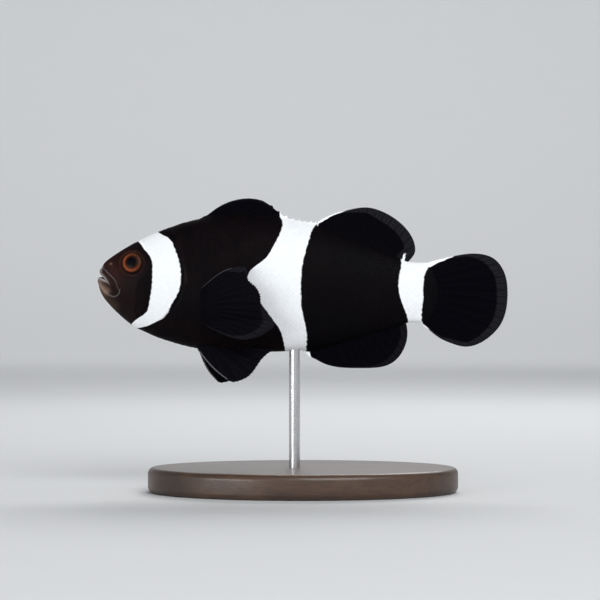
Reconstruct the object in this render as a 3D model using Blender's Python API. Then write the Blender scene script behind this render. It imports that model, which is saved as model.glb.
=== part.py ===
"""A clownfish of the black form, life size, held level on a plain display stand.

Lengths are in millimetres; MM turns them into metres. A point of the fish is (behind, above): how far
it lies behind the tip of the lower lip, and how far above the level of the mouth. The fish looks along
-X, its left side faces -Y, and the underside of the stand is at z = 0.
"""

import math

import bmesh
import bpy
import numpy as np

MM = 0.001
GAP = 0.32                    # clear space between neighbouring pieces
TOTAL_LENGTH = 81.8           # tip of the lower lip to the end of the tail fin
MOUTH_HEIGHT = 42.0           # level of the mouth above the floor
SMOOTH_DEGREES = 40           # faces that meet at less than this are shaded as one
SNOUT_X = -TOTAL_LENGTH / 2   # the fish is centred over its stand

# ---- body: each row is one ring round the body, from the lips to the root of the tail fin.
# Its top and bottom lie on the midline, its side is where it is widest, and half is half its width.
# Columns: top behind, top above, bottom behind, bottom above, side behind, side above, half
RINGS = np.array([
    (0.60, 1.75, 0.00, 0.45, 2.3, -1.2, 1.65),    # lips
    (0.88, 3.30, 0.10, -0.9, 3.2, -1.3, 2.35),
    (2.35, 4.80, 1.20, -3.3, 4.8, -1.2, 3.30),    # nostrils
    (6.00, 7.15, 4.15, -6.5, 8.3, -0.7, 4.70),    # eyes
    (10.0, 9.25, 7.05, -8.85, 13.0, -0.3, 5.70),
    (13.0, 10.5, 10.0, -10.35, 16.6, 0.1, 6.30),  # gill openings
    (18.6, 12.3, 16.2, -12.5, 21.0, -0.4, 6.50),  # pectoral fins
    (25.4, 13.0, 24.4, -13.9, 26.8, -0.6, 6.40),
    (32.8, 12.7, 32.4, -14.0, 33.4, -0.8, 5.90),
    (40.4, 11.4, 40.4, -13.6, 40.6, -1.2, 5.00),
    (48.4, 9.00, 48.4, -11.9, 48.4, -1.6, 3.90),
    (56.4, 6.00, 56.4, -9.60, 56.4, -1.9, 2.80),
    (61.8, 4.10, 61.8, -8.15, 61.8, -2.0, 2.05),
    (64.9, 3.90, 64.9, -8.20, 65.1, -2.1, 1.60),  # root of the tail fin
])
GILL_RING = 5.0               # where head and trunk part, counted in rows of RINGS
STALK_RING = 11.7             # where trunk and tail stalk part
GILL_RING_STEP = 4.2          # mm from one ring to the next at the gills, and at the tail stalk
STALK_RING_STEP = 4.0
LIP_ROW = 0.35                # a ring row close behind the lips, for their curve
BACK_POWER = 1.12             # over 1 the back is a narrower ridge than an ellipse's
BELLY_POWER = 0.96
AROUND = 28                   # points round each ring

# ---- head
EYE_AT = (6.95, 3.74)
EYE_RADIUS = 2.25
EYE_HALF_DEPTH = 1.55
EYE_PROUD = 0.5               # how far the eye stands out of the head
EYE_TURN = (14, 16)           # degrees that it looks up and forward
MOUTH_LINE = [(-2.0, 0.75), (1.0, 0.8), (1.8, 0.35), (2.5, -1.2), (3.4, -5.4)]
MOUTH_OPEN = 0.45             # how much higher the upper lip's edge is than the lower lip's
JAW_RING = 2.6                # the jaw ends before this ring row
BELOW_CHIN = -9.0             # where the block that parts jaw and head ends
WIDER_THAN_HEAD = 7           # half the width of that block
GILL_COVER_RINGS = (3.85, GILL_RING)
GILL_COVER_TURNS = (38, 128)  # degrees round the ring from the top
GILL_COVER_THICK = 1.0
GILL_COVER_RADIUS = 8.0       # from the middle of the head, for the gap above and below the cover

# ---- fins: outlines as points (behind, above), thicknesses at the root and at the margin
SPINY_ROOT = (20.8, 43.0)     # behind, at the first and the last spine
SPINY_MARGIN = [(21.4, 13.4), (23.0, 14.35), (28.3, 16.6), (33.3, 16.05), (37.6, 13.3), (39.4, 12.75),
                (43.5, 12.2)]
SPINES = 11
SPINE_NOTCH = (0.16, 0.66)    # how deep the margin dips between the front and the rear spines
SPINE_NOTCH_AT = (35, 41)     # behind, where the first depth turns into the second
SOFT_ROOT = (43.7, 61.3)
SOFT_MARGIN = [(44.2, 12.15), (46.4, 13.4), (49.8, 14.4), (53.6, 14.95), (57.4, 13.85), (61.2, 11.1),
               (63.2, 7.8), (62.2, 4.4)]
ANAL_ROOT = (41.1, 61.2)
ANAL_MARGIN = [(42.2, -15.0), (44.3, -15.95), (52.6, -17.25), (58.9, -16.1), (61.75, -9.8), (61.6, -8.6)]
TAIL_ROOT = [(65.4, 4.0), (65.8, 1.1), (65.9, -2.0), (65.8, -5.1), (65.4, -8.4)]
TAIL_MARGIN = [(67.6, 4.6), (70.0, 5.0), (75.4, 5.7), (79.1, 4.7), (81.5, 1.0), (81.85, -1.9), (80.4, -8.6),
               (79.1, -10.2), (73.2, -12.95), (70.5, -12.25), (66.6, -10.0)]
MEDIAN_THICK = (1.3, 0.55)
TAIL_THICK = (2.6, 0.55)

PECTORAL_ROOT = [(20.4, -2.2), (20.9, -4.9), (21.0, -7.6)]
PECTORAL_MARGIN = [(22.0, -0.3), (25.2, 2.1), (26.6, 2.65), (29.95, 2.45), (30.1, 0.75), (31.5, -0.75),
                   (32.7, -3.2), (32.8, -4.5), (35.3, -8.7), (34.4, -9.6), (31.1, -11.2), (29.2, -11.45),
                   (25.2, -10.4), (22.8, -9.4)]
PECTORAL_SPLAY = 17           # degrees that the fin stands out from the flank
PECTORAL_CUP = 0.00128        # how fast its upper and lower edges turn in, mm per cubic mm
PECTORAL_THICK = (1.5, 0.5)
PELVIC_ROOT = [(19.8, -13.6), (22.0, -14.15), (24.6, -14.5)]
PELVIC_MARGIN = [(20.4, -14.6), (23.8, -17.85), (26.9, -19.85), (28.4, -19.6), (30.05, -18.8),
                 (33.0, -15.4), (35.0, -14.8)]
PELVIC_SIDE = 2.3             # how far each root lies from the midline
PELVIC_SPLAY = 22
PELVIC_THICK = (1.0, 0.5)

# ---- stand
BASE_SIZE = (62.0, 42.0, 5.0)
BASE_EDGE = 1.2
BASE_SEGMENTS = 56
ROD_BEHIND = 39.2             # just behind the pelvic fins
ROD_RADIUS = 1.1
ROD_IN_BODY = 4.0
ROD_IN_BASE = 2.8
ROD_SEGMENTS = 24
BELOW_BELLY = -20             # above the mouth's level: where the rod's hole starts, clear of the belly

# name: colour, roughness, metallic
FINISHES = {
    "black_skin": ((0.012, 0.009, 0.011), 0.38, 0.0),
    "black_fin": ((0.010, 0.009, 0.013), 0.45, 0.0),
    "eye": ((0.13, 0.04, 0.02), 0.08, 0.0),
    "stand_wood": ((0.10, 0.055, 0.03), 0.45, 0.0),
    "stand_steel": ((0.62, 0.62, 0.63), 0.28, 1.0),
}


# ---------------------------------------------------------------- curves

def spline(knots, values, at):
    """Natural cubic spline through values at rising knots, read at the places at."""
    knots, values, at = (np.asarray(a, float) for a in (knots, values, at))
    step = np.diff(knots)
    slope = np.diff(values, axis=0) / step[:, None]
    size = len(knots)
    system = np.eye(size)
    right = np.zeros_like(values)
    inner = np.arange(1, size - 1)
    system[inner, inner - 1] = step[:-1]
    system[inner, inner] = 2 * (step[:-1] + step[1:])
    system[inner, inner + 1] = step[1:]
    right[1:-1] = 6 * np.diff(slope, axis=0)
    bend = np.linalg.solve(system, right)
    place = np.clip(np.searchsorted(knots, at, side="right") - 1, 0, size - 2)
    width = step[place][:, None]
    low = (at - knots[place])[:, None] / width
    high = 1 - low
    curve = (high**3 - high) * bend[place] + (low**3 - low) * bend[place + 1]
    return high * values[place] + low * values[place + 1] + curve * width**2 / 6


def along(points, shares):
    """Places on a smooth curve through points, at these shares of its length."""
    points = np.asarray(points, float)
    run = np.concatenate([[0], np.cumsum(np.linalg.norm(np.diff(points, axis=0), axis=1))])
    fine = spline(run, points, np.linspace(0, run[-1], 400))
    length = np.concatenate([[0], np.cumsum(np.linalg.norm(np.diff(fine, axis=0), axis=1))])
    wanted = np.asarray(shares) * length[-1]
    return np.stack([np.interp(wanted, length, fine[:, k]) for k in (0, 1)], axis=1)


def rings_at(rows):
    """The ring table read smoothly at rows, which may be fractions of a row."""
    return spline(np.arange(len(RINGS)), RINGS, np.atleast_1d(rows))


def body_surface(rows, turns):
    """Points of the body at ring rows and turns, in radians from the top over the left side."""
    ring = rings_at(rows)[:, :, None]
    turns = np.broadcast_to(turns, (len(ring), len(np.atleast_1d(turns))))
    rise = np.cos(turns)
    end_behind = np.where(rise > 0, ring[:, 0], ring[:, 2])
    end_above = np.where(rise > 0, ring[:, 1], ring[:, 3])
    power = np.where(rise > 0, BACK_POWER, BELLY_POWER)
    behind = ring[:, 4] + (end_behind - ring[:, 4]) * rise**2
    above = ring[:, 5] + (end_above - ring[:, 5]) * np.abs(rise)
    out = ring[:, 6] * np.sign(np.sin(turns)) * np.abs(np.sin(turns)) ** power
    return np.stack([behind, -out, above], axis=-1)


def body_edge(behind, top):
    """Height of the back (top true) or belly at these distances behind the lip."""
    rows = rings_at(np.linspace(0, len(RINGS) - 1, 300))
    column = 0 if top else 2
    return np.interp(behind, rows[:, column], rows[:, column + 1])


def half_width_at(behind, above):
    """How far the body's side stands from the midline at one point of the side view."""
    left_side = np.radians(np.linspace(2, 178, 120))
    grid = body_surface(np.linspace(0, len(RINGS) - 1, 260), left_side).reshape(-1, 3)
    nearest = np.argmin((grid[:, 0] - behind) ** 2 + (grid[:, 2] - above) ** 2)
    return abs(grid[nearest, 1])


# ---------------------------------------------------------------- meshes

def placed(points):
    """Fish coordinates (behind, across, above) in mm to metres in the part's frame."""
    return (np.asarray(points, float).reshape(-1, 3) + (SNOUT_X, 0, MOUTH_HEIGHT)) * MM


def finish_of(name):
    found = bpy.data.materials.get(name)
    if found:
        return found
    colour, roughness, metallic = FINISHES[name]
    material = bpy.data.materials.new(name)
    material.use_nodes = True
    shader = material.node_tree.nodes["Principled BSDF"]
    shader.inputs["Base Color"].default_value = (*colour, 1)
    shader.inputs["Roughness"].default_value = roughness
    shader.inputs["Metallic"].default_value = metallic
    return material


def add_object(name, points, faces, finish):
    """A named object from points in metres and faces, with its normals pointing out."""
    mesh = bpy.data.meshes.new(name)
    mesh.from_pydata([tuple(p) for p in points], [], [tuple(int(i) for i in f) for f in faces])
    work = bmesh.new()
    work.from_mesh(mesh)
    bmesh.ops.recalc_face_normals(work, faces=work.faces)
    work.to_mesh(mesh)
    work.free()
    mesh.shade_smooth()
    mesh.set_sharp_from_angle(angle=math.radians(SMOOTH_DEGREES))
    mesh.materials.append(finish_of(finish))
    item = bpy.data.objects.new(name, mesh)
    bpy.context.scene.collection.objects.link(item)
    return item


def grid_faces(rows, columns, closed=False):
    """Quads of a grid of rows by columns, joined round the columns if closed."""
    a = np.arange(rows - 1)[:, None] * columns
    b = np.arange(columns if closed else columns - 1)[None, :]
    c = (b + 1) % columns
    return np.stack([a + b, a + c, a + columns + c, a + columns + b], axis=-1).reshape(-1, 4)


def boolean(item, other, operation):
    """Cuts, or keeps what is common with, another object, which becomes a hidden guide."""
    modifier = item.modifiers.new(operation.title(), "BOOLEAN")
    modifier.operation = operation
    modifier.solver = "EXACT"
    modifier.object = other
    other.hide_render = True
    other.display_type = "WIRE"


def side_block(name, outline, half):
    """A block with this outline in the side view, reaching half to each side."""
    count = len(outline)
    points = [(b, y, a) for y in (-half, half) for b, a in outline]
    sides = [(i, (i + 1) % count, count + (i + 1) % count, count + i) for i in range(count)]
    caps = [tuple(range(count)), tuple(range(count, 2 * count))]
    return add_object(name, placed(points), sides + caps, "black_skin")


# ---------------------------------------------------------------- body

def body_length(name, first, last, stations, lips=False):
    """One length of the body between two ring rows, closed at both ends."""
    rows = np.linspace(first, last, stations)
    if lips:
        rows = np.concatenate([[0, LIP_ROW], np.linspace(1, last, stations - 2)])
    surface = body_surface(rows, np.arange(AROUND) * 2 * math.pi / AROUND)
    points = [*surface.reshape(-1, 3)]
    faces = [*grid_faces(len(rows), AROUND, closed=True)]
    half = AROUND // 2
    if lips:
        # The upper lip's edge meets the lower lip's: points at the same width are joined.
        upper = [*range(AROUND - half // 2, AROUND), *range(half // 2 + 1)]
        lower = [half - i if i <= half // 2 else half + AROUND - i for i in upper]
        pairs = list(zip(upper, lower))
        for (u, d), (v, e) in zip(pairs, pairs[1:]):
            faces.append([i for n, i in enumerate((u, v, e, d)) if i not in (u, v, e, d)[:n]])
    else:
        faces += fan_cap(points, surface[0], 0)
    faces += fan_cap(points, surface[-1], (len(rows) - 1) * AROUND)
    return add_object(name, placed(points), faces, "black_skin")


def fan_cap(points, ring, start):
    """Closes a ring with triangles to a point on the midline, level with the ring's widest place."""
    side = ring[AROUND // 4]
    points.append((side[0], 0, side[2]))
    return [(start + i, start + (i + 1) % AROUND, len(points) - 1) for i in range(AROUND)]


def gill_cover(name, side, grow):
    """The plate over the gills: a thick patch of the head's surface. Grown, it is its own cutter."""
    step = grow / GILL_RING_STEP
    rows = np.linspace(GILL_COVER_RINGS[0] - step, GILL_COVER_RINGS[1] + step * 3 * (grow > 0), 9)
    spread = math.degrees(grow / GILL_COVER_RADIUS)
    turns = np.radians(np.linspace(GILL_COVER_TURNS[0] - spread, GILL_COVER_TURNS[1] + spread, 13))
    outer = body_surface(rows, turns)
    outer[..., 1] -= 2 * grow
    inner = outer.copy()
    inner[..., 1] += GILL_COVER_THICK + 3 * grow
    return shell(name, outer, inner, side)


def shell(name, outer, inner, side, finish="black_skin"):
    """A closed plate between two grids of points on the left side, mirrored if side is 1."""
    rows, columns = outer.shape[:2]
    count = rows * columns
    faces = [*grid_faces(rows, columns), *(grid_faces(rows, columns) + count)]
    rim = [*range(columns), *range(2 * columns - 1, count, columns),
           *range(count - 2, count - columns - 1, -1), *range(count - 2 * columns, 0, -columns)]
    faces += [(a, b, b + count, a + count) for a, b in zip(rim, rim[1:] + rim[:1])]
    points = np.concatenate([outer.reshape(-1, 3), inner.reshape(-1, 3)])
    points[:, 1] *= -side
    return add_object(name, placed(points), faces, finish)


def eye(name, side, grow=0.0):
    """A flattened ball that looks outwards, a little up and forward."""
    out = half_width_at(*EYE_AT) + EYE_PROUD - EYE_HALF_DEPTH
    up, forward = (math.radians(d) for d in EYE_TURN)
    work = bmesh.new()
    bmesh.ops.create_uvsphere(work, u_segments=18, v_segments=11, radius=1)
    ball = np.array([v.co for v in work.verts])
    faces = [[v.index for v in f.verts] for f in work.faces]
    work.free()
    ball *= (EYE_RADIUS + grow, EYE_RADIUS + grow, EYE_HALF_DEPTH + grow)
    look = np.array([-math.sin(forward), -math.cos(forward) * math.cos(up), math.sin(up)])
    look /= np.linalg.norm(look)
    across = np.cross((0, 0, 1), look)
    across /= np.linalg.norm(across)
    points = ball @ np.stack([across, np.cross(look, across), look])
    points += (EYE_AT[0], -out, EYE_AT[1])
    points[:, 1] *= -side
    return add_object(name, placed(points), faces, "eye")


def head_and_jaw():
    """The head with its sockets, mouth and places for the gill covers, and the lower jaw."""
    head = body_length("head", 0, GILL_RING, 13, lips=True)
    jaw = body_length("lower_jaw", 0, JAW_RING, 9, lips=True)
    ahead, behind = MOUTH_LINE[0][0], MOUTH_LINE[-1][0]
    shut = [*MOUTH_LINE, (behind, BELOW_CHIN), (ahead, BELOW_CHIN)]
    boolean(jaw, side_block("jaw_block", shut, WIDER_THAN_HEAD), "INTERSECT")
    lift = [(MOUTH_OPEN if i < 2 else 0) for i in range(len(MOUTH_LINE))]
    open_line = [(b + GAP, a + GAP + extra) for (b, a), extra in zip(MOUTH_LINE, lift)]
    opened = [*open_line, (behind + GAP, BELOW_CHIN - GAP), (ahead - GAP, BELOW_CHIN - GAP)]
    boolean(head, side_block("mouth_cutter", opened, WIDER_THAN_HEAD), "DIFFERENCE")
    for side, word in ((-1, "left"), (1, "right")):
        eye(f"eye_{word}", side)
        boolean(head, eye(f"socket_{word}", side, GAP), "DIFFERENCE")
        gill_cover(f"gill_cover_{word}", side, 0)
        boolean(head, gill_cover(f"gill_cutter_{word}", side, GAP), "DIFFERENCE")


def trunk_and_stalk():
    """The trunk, with a blind hole for the rod, and the tail stalk."""
    apart = GAP / GILL_RING_STEP
    trunk = body_length("trunk", GILL_RING + apart, STALK_RING, 17)
    body_length("tail_stalk", STALK_RING + GAP / STALK_RING_STEP, len(RINGS) - 1, 6)
    top = body_edge(ROD_BEHIND, False) + ROD_IN_BODY + GAP
    hole = upright("rod_hole_in_body", ROD_RADIUS + GAP, BELOW_BELLY + MOUTH_HEIGHT, top + MOUTH_HEIGHT)
    boolean(trunk, hole, "DIFFERENCE")


# ---------------------------------------------------------------- fins

def fin(name, root, margin, thick, place, rows=5, side=-1):
    """A fin as a thin closed blade between its root and its margin.

    root and margin hold one point for each column, place turns (behind, above) into a point on the
    left side, and the half thickness falls from the root to the margin.
    """
    share = np.linspace(0, 1, rows)[None, :, None]
    flat = root[:, None] * (1 - share) + margin[:, None] * share
    middle = place(flat[..., 0], flat[..., 1])
    half = (thick[0] + (thick[1] - thick[0]) * np.sqrt(share[..., 0])) / 2
    half = np.broadcast_to(half, middle.shape[:2])
    outer, inner = middle.copy(), middle.copy()
    outer[..., 1] -= half
    inner[..., 1] += half
    return shell(name, outer, inner, side, "black_fin")


def upright_blade(behind, above):
    """Places a median fin on the midline."""
    return np.stack([behind, np.zeros_like(behind), above], axis=-1)


def median_root(ends, top, count):
    """The line just off the back or belly that a median fin grows from."""
    behind = np.linspace(*ends, count)
    edge = body_edge(behind, top)
    slope = np.gradient(edge, behind)
    off = GAP * np.sqrt(1 + slope**2) * (1 if top else -1)
    return np.stack([behind, edge + off], axis=1)


def median_fins():
    shares = np.linspace(0, 1, 4 * SPINES + 1)
    margin = along(SPINY_MARGIN, shares)
    notch = np.interp(margin[:, 0], SPINE_NOTCH_AT, SPINE_NOTCH)
    margin[:, 1] -= notch * np.sin(shares * SPINES * math.pi) ** 2
    spiny_root = median_root(SPINY_ROOT, True, len(shares))
    fin("dorsal_fin_spiny", spiny_root, margin, MEDIAN_THICK, upright_blade, rows=4)

    columns = np.linspace(0, 1, 21)
    soft_root = median_root(SOFT_ROOT, True, len(columns))
    fin("dorsal_fin_soft", soft_root, along(SOFT_MARGIN, columns), MEDIAN_THICK, upright_blade)
    anal_root = median_root(ANAL_ROOT, False, len(columns))
    fin("anal_fin", anal_root, along(ANAL_MARGIN, columns), MEDIAN_THICK, upright_blade)
    tail_root = along(TAIL_ROOT, columns)
    fin("caudal_fin", tail_root, along(TAIL_MARGIN, columns), TAIL_THICK, upright_blade, rows=7)


def pectoral_blade(behind, above):
    """Places the pectoral fin: it leaves the flank at its root and stands out behind, slightly cupped."""
    reach = np.maximum(behind - PECTORAL_ROOT[0][0], 0)
    level = above - PECTORAL_ROOT[1][1]
    flank = [half_width_at(b, a) for b, a in reversed(PECTORAL_ROOT)]
    start = np.interp(above, [a for b, a in reversed(PECTORAL_ROOT)], flank) + GAP + PECTORAL_THICK[0] / 2
    out = start + reach * (math.tan(math.radians(PECTORAL_SPLAY)) - PECTORAL_CUP * level**2)
    return np.stack([behind, -out, above], axis=-1)


def pelvic_blade(behind, above):
    """Places the pelvic fin: it hangs from the belly beside the midline and stands a little outwards."""
    drop = PELVIC_ROOT[0][1] - above
    out = PELVIC_SIDE + drop * math.tan(math.radians(PELVIC_SPLAY))
    return np.stack([behind, -out, above], axis=-1)


def paired_fins():
    columns = np.linspace(0, 1, 21)
    for side, word in ((-1, "left"), (1, "right")):
        fin(f"pectoral_fin_{word}", along(PECTORAL_ROOT, columns), along(PECTORAL_MARGIN, columns),
            PECTORAL_THICK, pectoral_blade, side=side)
        fin(f"pelvic_fin_{word}", along(PELVIC_ROOT, columns), along(PELVIC_MARGIN, columns),
            PELVIC_THICK, pelvic_blade, side=side)


# ---------------------------------------------------------------- stand

def upright(name, radius, low, high):
    """A round upright at the rod's place, between two heights above the floor in mm."""
    work = bmesh.new()
    bmesh.ops.create_cone(work, cap_ends=True, segments=ROD_SEGMENTS, radius1=radius, radius2=radius,
                          depth=high - low)
    points = np.array([v.co for v in work.verts]) + (ROD_BEHIND + SNOUT_X, 0, (low + high) / 2)
    faces = [[v.index for v in f.verts] for f in work.faces]
    work.free()
    return add_object(name, points * MM, faces, "stand_steel")


def stand():
    """A flat oval base with rounded edges and a rod let into it and into the belly."""
    length, depth, height = BASE_SIZE
    turn = np.arange(BASE_SEGMENTS) * 2 * math.pi / BASE_SEGMENTS
    oval = np.stack([np.cos(turn) * length / 2, np.sin(turn) * depth / 2], axis=1)
    points = [(x, y, z) for z in (0, height) for x, y in oval]
    ring = range(BASE_SEGMENTS)
    after = [(i + 1) % BASE_SEGMENTS for i in ring]
    faces = [(i, j, BASE_SEGMENTS + j, BASE_SEGMENTS + i) for i, j in zip(ring, after)]
    faces += [tuple(ring), tuple(i + BASE_SEGMENTS for i in ring)]
    base = add_object("stand_base", np.array(points) * MM, faces, "stand_wood")
    edge = base.modifiers.new("Edge", "BEVEL")
    edge.width = BASE_EDGE * MM
    edge.segments = 2
    edge.limit_method = "ANGLE"
    edge.angle_limit = math.radians(60)
    hole = upright("rod_hole_in_base", ROD_RADIUS + GAP, height - ROD_IN_BASE - GAP, height + 2)
    boolean(base, hole, "DIFFERENCE")
    top = body_edge(ROD_BEHIND, False) + ROD_IN_BODY + MOUTH_HEIGHT
    upright("stand_rod", ROD_RADIUS, height - ROD_IN_BASE, top)


# ---------------------------------------------------------------- the whole part

def main():
    for item in list(bpy.data.objects):
        bpy.data.objects.remove(item)
    head_and_jaw()
    trunk_and_stalk()
    median_fins()
    paired_fins()
    stand()


main()
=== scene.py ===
import math
import bpy
import numpy as np
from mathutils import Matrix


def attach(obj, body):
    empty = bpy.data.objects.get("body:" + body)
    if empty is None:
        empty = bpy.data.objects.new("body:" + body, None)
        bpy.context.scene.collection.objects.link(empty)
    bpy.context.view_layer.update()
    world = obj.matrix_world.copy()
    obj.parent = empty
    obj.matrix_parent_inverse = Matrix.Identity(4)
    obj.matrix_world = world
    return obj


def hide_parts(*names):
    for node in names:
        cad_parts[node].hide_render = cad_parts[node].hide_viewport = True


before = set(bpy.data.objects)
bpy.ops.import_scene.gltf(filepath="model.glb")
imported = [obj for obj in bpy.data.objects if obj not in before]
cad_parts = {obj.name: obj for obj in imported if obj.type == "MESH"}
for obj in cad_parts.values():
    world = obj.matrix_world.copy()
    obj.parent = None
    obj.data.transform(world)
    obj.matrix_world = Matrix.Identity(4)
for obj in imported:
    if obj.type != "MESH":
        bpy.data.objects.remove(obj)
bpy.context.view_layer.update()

# A clownfish of the black form, life size, on a display stand. Lengths are in millimetres until a mesh is
# made. A point of the fish is (behind, across, above): behind the tip of the lower lip, to its right (its
# left side is -), and above the level of the mouth.
mm = 0.001
fishLength = 81.8
mouthHeight = 42.0
fishAt = np.array([-fishLength / 2, 0.0, mouthHeight])    # the lip's tip in the frame
leftAndRight = ((-1, "left"), (1, "right"))


def toFrame(points):
    # from the fish's own millimetres to the frame's metres
    return (np.asarray(points, float).reshape(-1, 3) + fishAt) * mm


def naturalSpline(knots, values, at):
    # cubic pieces through values at knots: slope and bend agree where they meet, and the ends have no bend
    knots = np.asarray(knots, float)
    values = np.asarray(values, float)
    at = np.asarray(at, float)
    step = np.diff(knots)
    slope = np.diff(values, axis=0) / step[:, None]
    count = len(knots)
    inner = np.arange(1, count - 1)
    system = np.eye(count)
    system[inner, inner - 1] = step[:-1]
    system[inner, inner] = 2 * (step[:-1] + step[1:])
    system[inner, inner + 1] = step[1:]
    right = np.zeros_like(values)
    right[1:-1] = 6 * np.diff(slope, axis=0)
    bend = np.linalg.solve(system, right)
    place = np.clip(np.searchsorted(knots, at, side="right") - 1, 0, count - 2)
    width = step[place][:, None]
    low = (at - knots[place])[:, None] / width
    high = 1 - low
    curve = (high**3 - high) * bend[place] + (low**3 - low) * bend[place + 1]
    return high * values[place] + low * values[place + 1] + curve * width**2 / 6


def pathLength(points):
    # how far along a line of points each of them lies
    return np.concatenate([[0], np.cumsum(np.linalg.norm(np.diff(points, axis=0), axis=1))])


def alongCurve(points, shares):
    # the spline through points, read at these shares of its length
    points = np.asarray(points, float)
    run = pathLength(points)
    fine = naturalSpline(run, points, np.linspace(0, run[-1], 900))
    length = pathLength(fine)
    wanted = np.asarray(shares, float) * length[-1]
    return np.stack([np.interp(wanted, length, fine[:, k]) for k in range(points.shape[1])], axis=1)


def smoothStep(low, high, x):
    # 0 at low, 1 at high and beyond, 3t^2 - 2t^3 between
    t = np.clip((x - low) / (high - low), 0, 1)
    return t * t * (3 - 2 * t)


def window(begins, ends, x):
    # rises from 0 to 1 over the first pair and falls back over the second
    return smoothStep(*begins, x) * (1 - smoothStep(*ends, x))


def bell(x, width):
    # 1 at 0, falling off to both sides by the exponential of minus the square of x / width
    return np.exp(-(x / width) ** 2)


def between(pair, share):
    # from the pair's first value to its second
    return pair[0] + (pair[1] - pair[0]) * share


def farFrom(behind, above, centre):
    # distance in the side view
    return np.hypot(behind - centre[0], above - centre[1])


def unit(vectors):
    # the same directions with length 1
    return vectors / np.maximum(np.linalg.norm(vectors, axis=-1, keepdims=True), 1e-9)


def nearestOnLine(behind, above, line):
    # for a line of straight runs in the side view: the distance to it, the side of it that a place lies on
    # (+ is towards the tail), and the nearest place on it, counted in points from its start
    best = np.full(behind.shape, 1e9)
    sign = np.zeros(behind.shape)
    nearest = np.zeros(behind.shape)
    for k, (a, b) in enumerate(zip(line, line[1:])):
        run = b - a
        t = np.clip(((behind - a[0]) * run[0] + (above - a[1]) * run[1]) / (run @ run), 0, 1)
        away = farFrom(behind, above, (a[0] + t * run[0], a[1] + t * run[1]))
        cross = run[0] * (above - a[1]) - run[1] * (behind - a[0])
        closer = away < best
        best = np.where(closer, away, best)
        sign = np.where(closer, np.sign(cross), sign)
        nearest = np.where(closer, k + t, nearest)
    return best, sign, nearest


def lineDistance(behind, above, line):
    # the same for the smooth curve through a line's points, with the nearest place as a share of its length
    curve = alongCurve(line, np.linspace(0, 1, 5 * len(line)))
    best, sign, nearest = nearestOnLine(behind, above, curve)
    return best, sign, nearest / (len(curve) - 1)


def gridQuads(rows, columns, closed=False):
    # the four corners of every cell of a grid, joined round its columns if closed
    a = np.arange(rows - 1)[:, None] * columns
    b = np.arange(columns if closed else columns - 1)[None, :]
    c = (b + 1) % columns
    return np.stack([a + b, a + c, a + columns + c, a + columns + b], axis=-1).reshape(-1, 4)


def poleFan(start, columns, pole):
    # triangles from a closed ring of points, the first of which is start, to one point
    ring = np.arange(columns)
    return np.stack([start + ring, start + (ring + 1) % columns, np.full(columns, pole)], axis=1)


def closedRings(rings, last, first=None):
    # the points and faces of a stack of rings, closed by a point after the last and, if given, before the
    # first; they face outwards where the rings run ahead as a screw does
    rows, columns = rings.shape[:2]
    total = rows * columns
    triangles = poleFan(total - columns, columns, total)
    ends = [last]
    if first is not None:
        triangles = np.concatenate([triangles, poleFan(0, columns, total + 1)[:, ::-1]])
        ends.append(first)
    points = np.concatenate([rings.reshape(-1, 3), ends])
    return points, gridQuads(rows, columns, closed=True), triangles


def makeMesh(name, points, quads, triangles=None):
    # a smooth mesh from arrays of points in metres and of the corners of its faces
    faces = [quads] if triangles is None else [quads, triangles]
    corners = np.concatenate([part.ravel() for part in faces])
    sizes = np.concatenate([np.full(len(part), part.shape[1]) for part in faces])
    starts = np.concatenate([[0], np.cumsum(sizes)[:-1]])
    mesh = bpy.data.meshes.new(name)
    mesh.vertices.add(len(points))
    mesh.vertices.foreach_set("co", np.asarray(points, np.float32).ravel())
    mesh.loops.add(len(corners))
    mesh.loops.foreach_set("vertex_index", corners.astype(np.int32))
    mesh.polygons.add(len(sizes))
    mesh.polygons.foreach_set("loop_start", starts.astype(np.int32))
    mesh.update(calc_edges=True)
    mesh.validate()
    mesh.shade_smooth()
    return mesh


def sideMesh(name, side, points, quads, triangles=None):
    # a mesh from points of the left side, or from their mirror image, whose faces are wound the other way
    turned = slice(None, None, -side)
    ends = None if triangles is None else triangles[:, turned]
    return makeMesh(name, toFrame(points * (1, -side, 1)), quads[:, turned], ends)


def addPiece(name, mesh, material, nodes):
    # a piece of the fish or its stand: it rides on the one body and stands for its nodes
    piece = bpy.data.objects.new(name, mesh)
    bpy.context.scene.collection.objects.link(piece)
    mesh.materials.append(material)
    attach(piece, "root")
    if nodes:
        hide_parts(*nodes)


def addNumbers(mesh, **fields):
    # an attribute for each field, with one number for each point
    for name, values in fields.items():
        layer = mesh.attributes.new(name, "FLOAT", "POINT")
        layer.data.foreach_set("value", np.asarray(values, np.float32).ravel())


def newMaterial(name, roughness, specular):
    material = bpy.data.materials.new(name)
    material.use_nodes = True
    shader = material.node_tree.nodes["Principled BSDF"]
    shader.inputs["Roughness"].default_value = roughness
    shader.inputs["Specular IOR Level"].default_value = specular
    return material, material.node_tree, shader


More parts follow.
